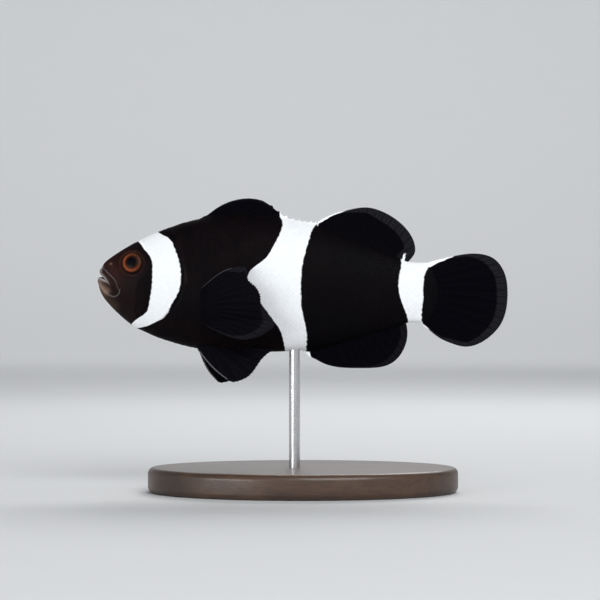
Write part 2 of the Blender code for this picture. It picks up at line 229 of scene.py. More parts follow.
studio = {
    # lengths in metres, lens and sensor in millimetres
    "cameraAt": (-0.0006, -0.45, 0.0384),
    "lens": 135,
    "sensor": 36,
    "clip": (0.01, 20),
    # name: place, aim, size, watts
    "lamps": {
        "keyLight": ((0.20, -0.56, 0.42), (0, 0, 0.04), (0.44, 0.34), 3.3),
        "fillLight": ((-0.44, -0.50, 0.09), (0, 0, 0.04), (0.36, 0.16), 1.5),
        "backLight": ((0.10, 0.40, 0.42), (0, 0, 0.05), (0.40, 0.24), 2.0),
    },
    # one lamp for each side of the backdrop: how far out from the fish and how high, the same for its aim
    "wallLamps": 4,
    "wallLampAt": (0.7, 0.9),
    "wallAim": (2.0, 0.55),
    "wallLampSize": (0.9, 0.3),
    "wallWatts": 10.5,
    "skyColour": (0.80, 0.82, 0.85),
    "skyStrength": 0.30,
    "floorColour": (0.62, 0.63, 0.64),
    "floorRoughness": 0.9,
    "floorSpecular": 0.2,
    "floorRadius": 3.0,
    "flatRadius": 1.0,
    "backdropHeight": 2.2,
    "floorRings": 60,
    "ringSpread": 1.3,        # over 1 the rings are closer in the middle
    "floorColumns": 96,
}


def addCamera():
    # level, and square to the fish's left side
    camera = bpy.data.objects.new("camera", bpy.data.cameras.new("camera"))
    camera.data.lens = studio["lens"]
    camera.data.sensor_width = studio["sensor"]
    camera.data.clip_start, camera.data.clip_end = studio["clip"]
    camera.location = studio["cameraAt"]
    camera.rotation_euler = (math.radians(90), 0, 0)
    bpy.context.scene.collection.objects.link(camera)
    bpy.context.scene.camera = camera


def addLight(name, place, aim, size, watts):
    data = bpy.data.lights.new(name, "AREA")
    data.shape = "RECTANGLE"
    data.size, data.size_y = size
    data.energy = watts
    light = bpy.data.objects.new(name, data)
    light.location = place
    along = np.array(aim, float) - np.array(place, float)
    turn = math.atan2(along[0], -along[1])
    tip = math.atan2(math.hypot(along[0], along[1]), -along[2])
    light.rotation_euler = (tip, 0, turn + math.pi)
    bpy.context.scene.collection.objects.link(light)


def addFloor():
    # rings round the fish, closer in the middle, where they are flat; outside, the square of a smooth step
    # lifts them to a backdrop
    spread = np.linspace(1, 0, studio["floorRings"])[:-1, None] ** studio["ringSpread"]
    radius = spread * studio["floorRadius"]
    turn = np.arange(studio["floorColumns"])[None, :] * 2 * math.pi / studio["floorColumns"]
    rise = studio["backdropHeight"] * smoothStep(studio["flatRadius"], studio["floorRadius"], radius) ** 2
    rings = np.stack([radius * np.cos(turn), radius * np.sin(turn), rise + 0 * turn], axis=-1)
    mesh = makeMesh("floor", *closedRings(rings, (0, 0, 0)))
    floor = bpy.data.objects.new("floor", mesh)
    bpy.context.scene.collection.objects.link(floor)
    material, _, shader = newMaterial("palePaper", studio["floorRoughness"], studio["floorSpecular"])
    shader.inputs["Base Color"].default_value = (*studio["floorColour"], 1)
    mesh.materials.append(material)


def addStudio():
    addCamera()
    for name, (place, aim, size, watts) in studio["lamps"].items():
        addLight(name, place, aim, size, watts)
    (lampOut, lampUp), (aimOut, aimUp) = studio["wallLampAt"], studio["wallAim"]
    for side in range(studio["wallLamps"]):
        turn = side * 2 * math.pi / studio["wallLamps"]
        outwards = np.array([math.sin(turn), math.cos(turn), 0])
        place = outwards * lampOut + (0, 0, lampUp)
        aim = outwards * aimOut + (0, 0, aimUp)
        addLight("wallLight" + str(side), place, aim, studio["wallLampSize"], studio["wallWatts"])
    world = bpy.data.worlds.new("sky")
    world.use_nodes = True
    background = world.node_tree.nodes["Background"]
    background.inputs["Color"].default_value = (*studio["skyColour"], 1)
    background.inputs["Strength"].default_value = studio["skyStrength"]
    bpy.context.scene.world = world
    bpy.context.scene.view_settings.view_transform = "Standard"
    addFloor()
    print("studio ready")


addStudio()


body = {
    # each row is a ring round the body: its top and bottom on the midline, its widest place, half its width
    # top behind, top above, bottom behind, bottom above, side behind, side above, half
    "rings": np.array([
        (0.60, 1.75, 0.00, 0.45, 2.3, -1.2, 1.65),
        (0.88, 3.30, 0.10, -0.9, 3.2, -1.3, 2.35),
        (2.35, 4.80, 1.20, -3.3, 4.8, -1.2, 3.30),
        (6.00, 7.15, 4.15, -6.5, 8.3, -0.7, 4.70),
        (10.0, 9.25, 7.05, -8.85, 13.0, -0.3, 5.70),
        (13.0, 10.5, 10.0, -10.35, 16.6, 0.1, 6.30),
        (18.6, 12.3, 16.2, -12.5, 21.0, -0.4, 6.50),
        (25.4, 13.0, 24.4, -13.9, 26.8, -0.6, 6.40),
        (32.8, 12.7, 32.4, -14.0, 33.4, -0.8, 5.90),
        (40.4, 11.4, 40.4, -13.6, 40.6, -1.2, 5.00),
        (48.4, 9.00, 48.4, -11.9, 48.4, -1.6, 3.90),
        (56.4, 6.00, 56.4, -9.60, 56.4, -1.9, 2.80),
        (61.8, 4.10, 61.8, -8.15, 61.8, -2.0, 2.05),
        (64.9, 3.90, 64.9, -8.20, 65.1, -2.1, 1.45),
        (66.0, 3.75, 66.0, -8.05, 66.8, -2.1, 0.95),
        (66.9, 3.20, 66.9, -7.40, 68.3, -2.1, 0.36),
    ]),
    "backPower": 1.12,        # over 1 the back is a narrower ridge than an ellipse's
    "bellyPower": 0.96,
    "columns": 256,
    "headStep": 0.145,        # spacing of the rings of points on the head and behind it
    "trunkStep": 0.34,
    "stepChange": (15, 22),   # between these lengths along the side, the first turns into the second
    "underScales": 0.07,      # how far the skin is sunk where it carries scales
    "underFade": (-0.9, 0.3),    # over these distances behind the edge of the bare face
    # the skin rises into the feet of the midline fins: how far, how wide, where it begins and ends
    "footRise": 0.75,
    "footWidth": 0.85,
    "backFoot": (19.5, 22.5),
    "bellyFoot": (40.3, 42.0),
    "footEnd": (59.5, 61.8),
    "footTaper": 0.35,        # how much lower the feet are at the rear, and from where to where they sink
    "footSink": (40, 60),
}

head = {
    "eyeAt": (6.95, 3.74),
    "socketEdge": (1.96, 2.16),
    "socketDepth": 0.70,
    "nostrilAt": (2.5, 3.35),
    # round bumps and hollows: centre, distance from it, height, width
    "spots": [
        ((6.95, 3.74), 2.35, 0.020, 0.24),      # soft rim of the eye
        ((6.95, 3.74), 2.70, -0.035, 0.16),
        ((2.5, 3.35), 0, -0.34, 0.17),          # nostril and its raised edge
        ((2.5, 3.35), 0.34, 0.11, 0.14),
        ((3.25, 3.70), 0, -0.10, 0.14),         # rear nostril
    ],
    "upperLipGroove": [(1.3, 2.5), (2.4, 1.5), (3.3, 0.6), (3.9, -0.5), (4.2, -1.6)],
    "lowerLipGroove": [(0.3, -0.1), (1.2, -1.6), (2.2, -2.5), (3.4, -2.9), (4.3, -2.3), (4.5, -1.4)],
    "cheekEdge": [(9.9, 4.0), (10.5, -0.4), (9.7, -4.6), (7.2, -7.3)],
    "gillEdge": [(14.8, 8.1), (16.2, 5.2), (16.9, -0.1), (16.25, -2.5), (14.85, -4.9), (12.6, -7.5),
                 (11.2, -8.4)],
    # ridges and grooves along these lines: distance from the line, height, width, the shares of its length
    # over which the form begins and ends (past 1: not at all), and whether it lies only towards the tail
    "folds": [
        ("upperLipGroove", 0, -0.16, 0.16, (0, 0.15), (2, 3), False),
        ("upperLipGroove", 0.35, 0.05, 0.20, (-2, -1), (2, 3), False),
        ("lowerLipGroove", 0, -0.17, 0.17, (0, 0.12), (2, 3), False),
        ("cheekEdge", 0, 0.09, 0.50, (0, 0.20), (0.9, 1.0), False),
        ("cheekEdge", 0.35, -0.10, 0.25, (0, 0.20), (0.9, 1.0), True),
    ],
    # the gill opening: how far its edge stands over the skin behind, over what length that skin falls and
    # rises again, how high and wide the edge swells, and where along its length it begins and ends
    "gillDrop": 0.34,
    "gillFall": 0.10,
    "gillRise": 2.4,
    "gillSwell": (0.05, 1.2),
    "gillFade": ((0, 0.12), (0.92, 1.0)),
    "padAt": (20.2, -4.6),    # the low pad that the pectoral fin grows from: place, half sizes, height
    "padSize": (1.7, 3.4),
    "padHeight": 0.35,
    "padFade": (0.3, 1.3),    # its top and its foot, in half sizes
    # where the scales begin, as (above, behind)
    "bareEdge": [(-10, 8.6), (-6, 6.6), (-2, 6.8), (0, 7.6), (1.2, 8.8), (3.7, 9.9), (6, 9.3), (8, 7.9),
                 (10, 6.8)],
}

mouth = {
    # the edges of the lips in the side view, from the mouth's corner to its front, at these cosines of the
    # turn, and how many rings of the body's table are drawn along with them
    "turns": [0, 0.35, 0.55, 0.70, 0.85, 1.0],
    "upperLip": [(2.30, -1.30), (2.05, -0.55), (1.75, 0.10), (1.36, 0.62), (0.88, 1.14), (0.40, 1.62)],
    "lowerLip": [(2.30, -1.30), (2.02, -0.58), (1.70, 0.05), (1.22, 0.37), (0.68, 0.66), (0.08, 0.84)],
    "drawn": 1.15,
    "swell": (0.25, 0.22),    # how far the upper and the lower lip bulge just outside their edges
    "swellAt": 0.55,
    "swellWidth": 0.58,
    "swellAtCorner": 0.4,     # of the bulge in front, and the cosines of the turn between which it grows
    "swellGrows": (0.2, 0.9),
    # inside the lips, row by row: share of the way to the closed line, how far back, how far rolled out
    "closing": [0.08, 0.20, 0.36, 0.55, 0.75, 0.92],
    "back": [0.10, 0.28, 0.60, 1.10, 1.80, 2.60],
    "roll": [0.099, 0.100, 0.081, 0.031, 0, 0],
    "paleRows": [0.5, 1.0, 0.8, 0.4, 0.12, 0.0],    # how pale the lip is from its edge outwards
}


def ringsAt(rows):
    # the table of rings read smoothly at fractions of a row
    table = naturalSpline(np.arange(len(body["rings"])), body["rings"], np.ravel(rows))
    return table.reshape(*np.shape(rows), 7)


def bodySurface(rows, turns):
    # round each ring, turn t from the top over the left side: height runs with cos t, how far back with
    # cos^2 t between the side and the top or bottom, width with sin t to a power
    ring = ringsAt(rows)
    rise = np.cos(turns)
    top = rise > 0
    behind = ring[..., 4] + (np.where(top, ring[..., 0], ring[..., 2]) - ring[..., 4]) * rise**2
    above = ring[..., 5] + (np.where(top, ring[..., 1], ring[..., 3]) - ring[..., 5]) * np.abs(rise)
    power = np.where(top, body["backPower"], body["bellyPower"])
    out = ring[..., 6] * np.sign(np.sin(turns)) * np.abs(np.sin(turns)) ** power
    return np.stack([behind, -out, above], axis=-1)


def ringRows():
    # ring rows whose points at the side lie apart by the head's step, which grows smoothly to the trunk's
    fine = np.linspace(0, len(body["rings"]) - 1, 3000)
    length = pathLength(bodySurface(fine, np.full(len(fine), math.pi / 2)))
    step = between((body["headStep"], body["trunkStep"]), smoothStep(*body["stepChange"], length[1:]))
    count = np.concatenate([[0], np.cumsum(np.diff(length) / step)])
    return np.interp(np.linspace(0, count[-1], int(round(count[-1])) + 1), count, fine)


def gridNormals(points):
    # the cross product of the two directions of a grid that is closed round its columns; outwards
    down = np.gradient(points, axis=0)
    around = (np.roll(points, -1, axis=1) - np.roll(points, 1, axis=1)) / 2
    return unit(np.cross(around, down))


def skinRelief(behind, above):
    # how far the skin stands out at each place of the side view: bells of the distance to the head's spots
    # and lines, the eye's socket, the step at the gill opening and the pad of the pectoral fin
    socket = 1 - smoothStep(*head["socketEdge"], farFrom(behind, above, head["eyeAt"]))
    relief = -head["socketDepth"] * socket
    for centre, distance, height, width in head["spots"]:
        relief = relief + height * bell(farFrom(behind, above, centre) - distance, width)
    for line, distance, height, width, begins, ends, rearOnly in head["folds"]:
        away, side, share = lineDistance(behind, above, head[line])
        here = (side > 0) | (not rearOnly)
        relief = relief + height * bell(away - distance, width) * window(begins, ends, share) * here
    away, side, share = lineDistance(behind, above, head["gillEdge"])
    fade = window(*head["gillFade"], share)
    drop = (1 - np.exp(-away / head["gillFall"])) * np.exp(-away / head["gillRise"]) * (side > 0)
    swell, swellWidth = head["gillSwell"]
    relief = relief + fade * (swell * bell(away, swellWidth) * (side <= 0) - head["gillDrop"] * drop)
    padBehind, padAbove = head["padAt"]
    pad = np.hypot((behind - padBehind) / head["padSize"][0], (above - padAbove) / head["padSize"][1])
    return relief + head["padHeight"] * (1 - smoothStep(*head["padFade"], pad))


def finFeet(behind, across, top):
    # how far the skin rises beside the midline fins: it falls off from the midline by an exponential, and
    # starts and ends with the fins
    back, belly = (window(body[key], body["footEnd"], behind) for key in ("backFoot", "bellyFoot"))
    here = np.where(top, back, belly)
    size = body["footRise"] * (1 - body["footTaper"] * smoothStep(*body["footSink"], behind))
    return size * np.exp(-np.abs(across) / body["footWidth"]) * here


def bareEdgeAt(above):
    # how far behind the lip the scales begin, by height
    heights, places = np.array(head["bareEdge"]).T
    return np.interp(above, heights, places)


def lipShift(rows, turns):
    # moves the first ring on to the edges of the lips, and the rings behind it less and less
    at = np.abs(np.cos(turns))
    first = bodySurface(np.zeros_like(rows), turns)
    shift = np.zeros_like(first)
    for lip, here in (("upperLip", np.cos(turns) >= 0), ("lowerLip", np.cos(turns) < 0)):
        edge = naturalSpline(mouth["turns"], mouth[lip], at.ravel()).reshape(*at.shape, 2)
        shift[..., 0] += here * (edge[..., 0] - first[..., 0])
        shift[..., 2] += here * (edge[..., 1] - first[..., 2])
    return shift * (1 - smoothStep(0, mouth["drawn"], rows))[..., None]


def skinGrid():
    # the body's surface with its lips, moved along its normals by the sum of all reliefs
    turns = np.arange(body["columns"]) * 2 * math.pi / body["columns"]
    rowGrid, turnGrid = np.meshgrid(ringRows(), turns, indexing="ij")
    smooth = bodySurface(rowGrid, turnGrid) + lipShift(rowGrid, turnGrid)
    behind, across, above = smooth[..., 0], smooth[..., 1], smooth[..., 2]
    normal = gridNormals(smooth)
    rise = np.cos(turnGrid)
    scaled = smoothStep(*body["underFade"], behind - bareEdgeAt(above))
    relief = skinRelief(behind, above) - body["underScales"] * scaled + finFeet(behind, across, rise > 0)
    steps = np.linalg.norm(np.diff(smooth, axis=0), axis=2)
    fromLip = np.concatenate([np.zeros((1, len(turns))), np.cumsum(steps, axis=0)])
    swell = np.where(rise > 0, *mouth["swell"]) * bell(fromLip - mouth["swellAt"], mouth["swellWidth"])
    grows = smoothStep(*mouth["swellGrows"], np.abs(rise))
    relief = relief + swell * between((mouth["swellAtCorner"], 1), grows)
    return smooth + normal * relief[..., None], normal


def lipRows(ring, normal):
    # inside the lips: the opening's rim rolls inwards, and its upper and lower edges close towards the line
    # half way between them while they run back into the mouth, furthest at its middle by a parabola
    count = ring.shape[0]
    mirror = ring[(count // 2 - np.arange(count)) % count]
    middle = (ring + mirror) / 2
    width = 1 - (np.abs(ring[:, 1]) / np.abs(ring[:, 1]).max()) ** 2
    closing, back, roll = (np.array(mouth[key])[:, None] for key in ("closing", "back", "roll"))
    rows = ring[None] + (middle - ring)[None] * closing[..., None]
    rows[..., 0] += back * width[None, :]
    rows += normal[None] * roll[..., None]
    return rows[::-1]


def mouthSeam(columns):
    # closes the mouth's inner end: its upper edge is joined to its lower edge, with a triangle at each corner
    quarter = columns // 4
    upper = np.arange(-quarter, quarter + 1) % columns
    lower = (columns // 2 - np.arange(-quarter, quarter + 1)) % columns
    seam = np.stack([upper[:-1], upper[1:], lower[1:], lower[:-1]], axis=1)
    corners = np.stack([seam[0][[0, 1, 2]], seam[-1][[0, 1, 3]]])
    return seam[1:-1, ::-1], corners[:, ::-1]


skinSurface, skinNormal = skinGrid()


def makeSkin():
    # one closed skin from the inside of the mouth to a point at the root of the tail fin
    rings = np.concatenate([lipRows(skinSurface[0], skinNormal[0]), skinSurface])
    points, quads, fan = closedRings(rings, rings[-1].mean(axis=0))
    seam, corners = mouthSeam(rings.shape[1])
    mesh = makeMesh("skin", toFrame(points), np.concatenate([quads, seam]), np.concatenate([corners, fan]))
    return mesh, points


markings = {
    # each bar's front and rear edge, as (above, behind)
    "headBar": (
        [(-9.4, 6.4), (-7.7, 7.45), (-6.5, 9.35), (-4.5, 10.45), (-0.9, 11.05), (2.6, 11.15), (4.8, 10.75),
         (6.4, 9.5), (8.1, 8.1), (9.5, 6.6)],
        [(-9.4, 6.4), (-9.1, 8.6), (-8.25, 11.15), (-7.65, 12.45), (-4.9, 14.8), (-2.5, 16.2), (-0.1, 16.85),
         (5.2, 16.15), (7.4, 15.25), (9.0, 13.8), (9.65, 12.45), (10.4, 11.6)]),
    "middleBar": (
        [(-14.5, 37.6), (-12.85, 37.25), (-9.25, 36.2), (-6.85, 34.5), (-4.2, 32.6), (0.85, 29.95),
         (2.6, 30.9), (4.2, 33.05), (5.8, 34.4), (7.0, 35.05), (11.0, 36.8), (11.9, 36.85), (13.2, 36.3),
         (15.0, 36.2)],
        [(-14.5, 41.5), (-11.25, 41.75), (-8.0, 41.35), (-4.9, 40.7), (-3.3, 40.6), (0.7, 40.6), (6.2, 41.55),
         (9.85, 42.65), (11.7, 44.1), (12.1, 44.9), (15.0, 48.0)]),
    "tailBar": (
        [(-9.0, 62.1), (-6.7, 61.65), (-4.3, 60.7), (1.3, 60.1), (3.1, 60.5), (5.0, 60.5)],
        [(-9.0, 64.9), (-7.5, 64.7), (-2.3, 65.0), (1.7, 65.35), (2.8, 66.0), (3.9, 67.95), (4.3, 69.2),
         (5.5, 71.0)]),
    "headBarFoot": -9.3,      # above the mouth's level, where the head's bar ends
    "wave": 0.09,             # how far the edges waver, and how far a finer wave moves them
    "ripple": 0.03,
    "frontShare": 0.6,        # of the waver at the front edges
    "widen": (0.03, -0.11),   # how far the front and the rear edges are moved outwards
    "softness": 0.12,         # half the width over which a bar's edge fades
    "reach": 1.5,             # depths are cut off at this distance
}


def edgeAt(edge, above):
    # how far behind the lip a bar's edge lies at a height, by a spline through its points
    heights, places = np.array(edge)[:, :1], np.array(edge)[:, 1:]
    fine = np.linspace(heights[0, 0], heights[-1, 0], 120)
    return np.interp(above, fine, naturalSpline(heights[:, 0], places, fine)[:, 0])


def barDepth(behind, above):
    # how far inside a bar each place lies, in mm, and - outside: the lesser of its distances from the curves
    # of the bar's front and rear edges, which waver by two sines
    depth = np.full(np.shape(behind), -markings["reach"])
    wave = markings["wave"] * np.sin(above * 5.9 + 1.3 * np.sin(behind * 2.1))
    wave = wave + markings["ripple"] * np.sin(above * 15.3 + behind * 3.0)
    widenFront, widenRear = markings["widen"]
    for name in ("headBar", "middleBar", "tailBar"):
        front, rear = markings[name]
        pastFront = behind - edgeAt(front, above) + wave * markings["frontShare"] + widenFront
        inside = np.minimum(pastFront, edgeAt(rear, above) - behind + wave + widenRear)
        if name == "headBar":
            inside = np.minimum(inside, above - markings["headBarFoot"])
        depth = np.maximum(depth, inside)
    return np.minimum(depth, markings["reach"])


def barWhite(behind, above):
    # 1 inside a bar and 0 outside
    return smoothStep(-markings["softness"], markings["softness"], barDepth(behind, above))


def addNode(tree, kind, settings=None, values=None):
    made = tree.nodes.new("ShaderNode" + kind)
    for key, value in (settings or {}).items():
        setattr(made, key, value)
    for key, value in (values or {}).items():
        made.inputs[key].default_value = value
    return made


def attributeOut(tree, name):
    return addNode(tree, "Attribute", {"attribute_name": name}).outputs["Fac"]


def objectOut(tree):
    return addNode(tree, "TexCoord").outputs["Object"]


def stretchedOut(tree, vector, scale):
    mapping = addNode(tree, "Mapping", values={"Scale": scale})
    tree.links.new(vector, mapping.inputs["Vector"])
    return mapping.outputs["Vector"]


def noiseOut(tree, vector, scale, detail, roughness=0.5, distortion=0.0):
    values = {"Scale": scale, "Detail": detail, "Roughness": roughness, "Distortion": distortion}
    noise = addNode(tree, "TexNoise", values=values)
    tree.links.new(vector, noise.inputs["Vector"])
    return noise.outputs["Fac"]


def mixColours(tree, factor, first, second):
    # first where factor is 0, second where it is 1; each is a colour or a socket
    mix = addNode(tree, "Mix", {"data_type": "RGBA"})
    tree.links.new(factor, mix.inputs[0])
    colourInputs = [socket for socket in mix.inputs if socket.type == "RGBA"]
    for socket, value in zip(colourInputs, (first, second)):
        if isinstance(value, tuple):
            socket.default_value = (*value, 1)
        else:
            tree.links.new(value, socket)
    return [socket for socket in mix.outputs if socket.type == "RGBA"][0]


def mathOut(tree, operation, *values, clamp=False):
    # each value is a number or a socket
    made = addNode(tree, "Math", {"operation": operation, "use_clamp": clamp})
    for socket, value in zip(made.inputs, values):
        if isinstance(value, (int, float)):
            socket.default_value = value
        else:
            tree.links.new(value, socket)
    return made.outputs[0]


def rampOut(tree, factor, stops):
    made = addNode(tree, "ValToRGB")
    tree.links.new(factor, made.inputs["Fac"])
    ramp = made.color_ramp
    while len(ramp.elements) < len(stops):
        ramp.elements.new(0.5)
    for element, (place, colour) in zip(ramp.elements, stops):
        element.position = place
        element.color = (*colour, 1)
    return made.outputs["Color"]


def addBump(tree, shader, height, strength, distance):
    bump = addNode(tree, "Bump", values={"Strength": strength, "Distance": distance})
    tree.links.new(height, bump.inputs["Height"])
    tree.links.new(bump.outputs["Normal"], shader.inputs["Normal"])


skinLook = {
    "black": (0.0024, 0.0020, 0.0029),
    # painted shade: a scale's free edge is darker in the black, partly its own margin, partly painted shade
    # of the overlap
    "rimMarginAndShadeBlack": (0.0008, 0.0007, 0.0010),      # at a scale's free edge
    "blackWarm": (0.0074, 0.0039, 0.0051),
    "warmClouds": (1.6, -0.45, 0.5),    # weight of the clouds, offset, weight of each scale's own tone
    "brown": (0.030, 0.0120, 0.0095),
    "chin": (0.190, 0.124, 0.090),
    "lip": (0.34, 0.31, 0.31),
    "nostril": (0.19, 0.095, 0.070),
    "eyeRim": (0.048, 0.0165, 0.0045),
    # painted shade inside the mouth, darkest at its inner end
    "mouthDepth": (0.010, 0.004, 0.004),
    "white": (0.88, 0.89, 0.90),
    "whiteShade": (0.76, 0.79, 0.82),
    "toneShade": 0.3,         # how far a scale's own tone and its free edge shade the white
    # how far a scale's free edge darkens the white, partly its own margin, partly painted shade of the
    # overlap
    "rimMarginAndPaintedShade": 0.55,
    "roughness": 0.44,
    "scaleShine": 0.06,       # how much smoother scales are, and how much duller their free edges
    "rimDull": 0.22,
    "specular": 0.03,
    "cloudScale": 260.0,
    "grainScale": 2600.0,
    "grainStrength": 0.25,
    "grainDepth": 0.00003,    # in metres
}


def darkSkinOut(tree, tone, scaled):
    # the colour outside the bars: black to warm black in clouds, then brown, tan and pale places by attribute
    cloud = noiseOut(tree, objectOut(tree), skinLook["cloudScale"], 4.0, 0.6)
    cloudWeight, offset, toneWeight = skinLook["warmClouds"]
    warm = mathOut(tree, "MULTIPLY_ADD", cloud, cloudWeight, offset)
    warm = mathOut(tree, "MULTIPLY_ADD", tone, toneWeight, warm)
    warm = mathOut(tree, "MULTIPLY", warm, attributeOut(tree, "warmth"), clamp=True)
    dark = mixColours(tree, warm, skinLook["black"], skinLook["blackWarm"])
    clouded = mathOut(tree, "MULTIPLY_ADD", cloud, 1.0, 0.5)
    brown = mathOut(tree, "MULTIPLY", attributeOut(tree, "brown"), clouded, clamp=True)
    dark = mixColours(tree, brown, dark, skinLook["brown"])
    for name in ("chin",) if scaled else ("chin", "lip", "nostril", "eyeRim", "mouthDepth"):
        dark = mixColours(tree, attributeOut(tree, name), dark, skinLook[name])
    return dark


def skinMaterial(name, scaled):
    # scales differ from bare skin in their darker, duller free edges; the darkness is partly their own margin
    # and partly painted shade where each overlaps the next
    material, tree, shader = newMaterial(name, skinLook["roughness"], skinLook["specular"])
    tone = attributeOut(tree, "tone")
    dark = darkSkinOut(tree, tone, scaled)
    paleShade = mathOut(tree, "MULTIPLY", tone, skinLook["toneShade"])
    if scaled:
        rim = attributeOut(tree, "rim")
        # painted shade along each scale's free edge, over the margin's own darker tone, in the black and in
        # the white
        rimMarginAndPaintedShade = mathOut(tree, "MULTIPLY", rim, skinLook["rimMarginAndPaintedShade"])
        paleShade = mathOut(tree, "MULTIPLY_ADD", rim, skinLook["rimMarginAndPaintedShade"], paleShade)
        dark = mixColours(tree, rimMarginAndPaintedShade, dark, skinLook["rimMarginAndShadeBlack"])
        smoother = skinLook["roughness"] - skinLook["scaleShine"]
        dull = mathOut(tree, "MULTIPLY_ADD", rim, skinLook["rimDull"], smoother)
        tree.links.new(dull, shader.inputs["Roughness"])
    pale = mixColours(tree, paleShade, skinLook["white"], skinLook["whiteShade"])
    edge = addNode(tree, "MapRange", {"interpolation_type": "SMOOTHSTEP"},
                   {"From Min": -markings["softness"], "From Max": markings["softness"]})
    tree.links.new(attributeOut(tree, "barDepth"), edge.inputs["Value"])
    tree.links.new(mixColours(tree, edge.outputs["Result"], dark, pale), shader.inputs["Base Color"])
    grain = noiseOut(tree, objectOut(tree), skinLook["grainScale"], 3.0)
    addBump(tree, shader, grain, skinLook["grainStrength"], skinLook["grainDepth"])
    return material


finLook = {
    "black": (0.0013, 0.0011, 0.0024),
    "rayBlack": (0.0018, 0.0016, 0.0030),
    "margin": (0.0074, 0.0073, 0.0096),
    "rayMargin": (0.0150, 0.0150, 0.0180),
    "white": (0.86, 0.875, 0.89),
    "jointLength": 0.42,      # of the rays, in mm, and how far their tone swings at each joint
    "jointTone": 0.12,
    "roughness": 0.48,
    "specular": 0.012,
    "grainScale": 3000.0,
    "grainStrength": 0.25,
    "grainDepth": 0.00003,    # in metres
}


def finMaterial():
    # black with paler jointed rays, grey and white by attribute
    material, tree, shader = newMaterial("wetFin", finLook["roughness"], finLook["specular"])
    waves = mathOut(tree, "MULTIPLY", attributeOut(tree, "along"), 2 * math.pi / finLook["jointLength"])
    swing = finLook["jointTone"]
    joints = mathOut(tree, "MULTIPLY_ADD", mathOut(tree, "SINE", waves), swing, 1 - swing)
    rayTone = mathOut(tree, "MULTIPLY", attributeOut(tree, "ray"), joints)
    dark = mixColours(tree, rayTone, finLook["black"], finLook["rayBlack"])
    grey = mixColours(tree, rayTone, finLook["margin"], finLook["rayMargin"])
    colour = mixColours(tree, attributeOut(tree, "grey"), dark, grey)
    colour = mixColours(tree, attributeOut(tree, "white"), colour, finLook["white"])
    tree.links.new(colour, shader.inputs["Base Color"])
    grain = noiseOut(tree, objectOut(tree), finLook["grainScale"], 2.0)
    addBump(tree, shader, grain, finLook["grainStrength"], finLook["grainDepth"])
    return material


face = {
    # places or lines with the strength and the width of their colour
    "snout": ((2.4, 2.2), 0.85, 2.9),
    "snoutTaller": 0.8,       # height counts this much against length in the snout's brown
    "cheek": ((7.5, -3.5), 0.16, 4.0),
    "brownEnds": (7.5, 10.5),    # behind the lip
    "mouthCorner": ((3.95, -1.0), 0.9, 0.42),
    "underLip": ([(0.1, -0.2), (0.8, -1.1), (1.7, -1.9)], 0.82, 0.66),
    "chin": ([(0.3, -1.4), (1.4, -2.9), (3.2, -4.8)], 0.15, 1.0),
    # a faint painted sheen along the underside of the jaw
    "jaw": ([(2.2, -4.2), (4.4, -5.8), (7.4, -8.0)], 0.024, 2.2),
    "upperGroove": (head["upperLipGroove"], 0.29, 0.09),
    "lowerGroove": (head["lowerLipGroove"], 0.42, 0.09),
    "lipFront": ([(0.50, 1.9), (0.55, 2.4), (0.85, 2.95)], 0.50, 0.24),
    "nostrilMark": ((2.6, 3.57), 0.95, 0.22),
    "nostrilHole": (head["nostrilAt"], 1, 0.12),
    "eyeRim": (2.45, 0.24),   # distance from the eye's centre, width
    # warm tones of the whole body: where the upper side's begins by height and ends towards the tail, and
    # where the ridge of the back dulls it; the cloud before the tail; the chest; and everywhere
    "backAbove": (-6, 2),
    "backBehind": (36, 52),
    "ridgeAbove": (9.5, 12.5),
    "rearCloud": ((55, -2.5), 0.5, 3.6),
    "rearLonger": 1.5,        # its length against its height
    "chestBelow": (3, 10),
    "chestBehind": (30, 42),
    "leastWarmth": 0.12,
}


def spotTone(name, behind, above):
    # a bell of the distance to a place
    place, strength, width = face[name]
    return strength * bell(farFrom(behind, above, place), width)


def lineTone(name, behind, above):
    # a bell of the distance to a line, and the nearest place's share of its length
    line, strength, width = face[name]
    away, _, share = lineDistance(behind, above, line)
    return strength * bell(away, width), share


def faceTones(behind, above):
    # brown on the snout and cheek and at the mouth's corner, pale tan along the lower lip and chin, a faint
    # painted sheen in the same tan along the underside of the jaw, pale lines round the lips, which fade
    # towards the mouth's corner, and the nostril's pale edge round its hole
    (snoutBehind, snoutAbove), strength, width = face["snout"]
    fromSnout = np.hypot(behind - snoutBehind, (above - snoutAbove) * face["snoutTaller"])
    brown = strength * bell(fromSnout, width) + spotTone("cheek", behind, above)
    brown = np.clip(brown, 0, 1) * (1 - smoothStep(*face["brownEnds"], behind))
    brown = np.maximum(brown, spotTone("mouthCorner", behind, above))
    # the chin's tan, with the jaw's painted sheen added in
    chin = sum(lineTone(name, behind, above)[0] for name in ("underLip", "chin", "jaw"))
    upper, upperShare = lineTone("upperGroove", behind, above)
    lower, lowerShare = lineTone("lowerGroove", behind, above)
    lip = upper * (1 - 0.7 * smoothStep(0.4, 1.0, upperShare)) + lower * (1 - 0.35 * lowerShare)
    lip = np.maximum(lip, lineTone("lipFront", behind, above)[0])
    nostril = spotTone("nostrilMark", behind, above) * (1 - spotTone("nostrilHole", behind, above))
    return brown, np.clip(chin, 0, 1), np.clip(lip, 0, 1), nostril


def eyeRim(behind, above):
    # a brown ring round the eye, whose strength swings once by a cosine and seven times by a sine
    turn = np.arctan2(above - head["eyeAt"][1], behind - head["eyeAt"][0])
    strength = 0.36 + 0.18 * np.cos(turn - 2.4) + 0.05 * np.sin(7 * turn)
    distance, width = face["eyeRim"]
    return strength * bell(farFrom(behind, above, head["eyeAt"]) - distance, width)


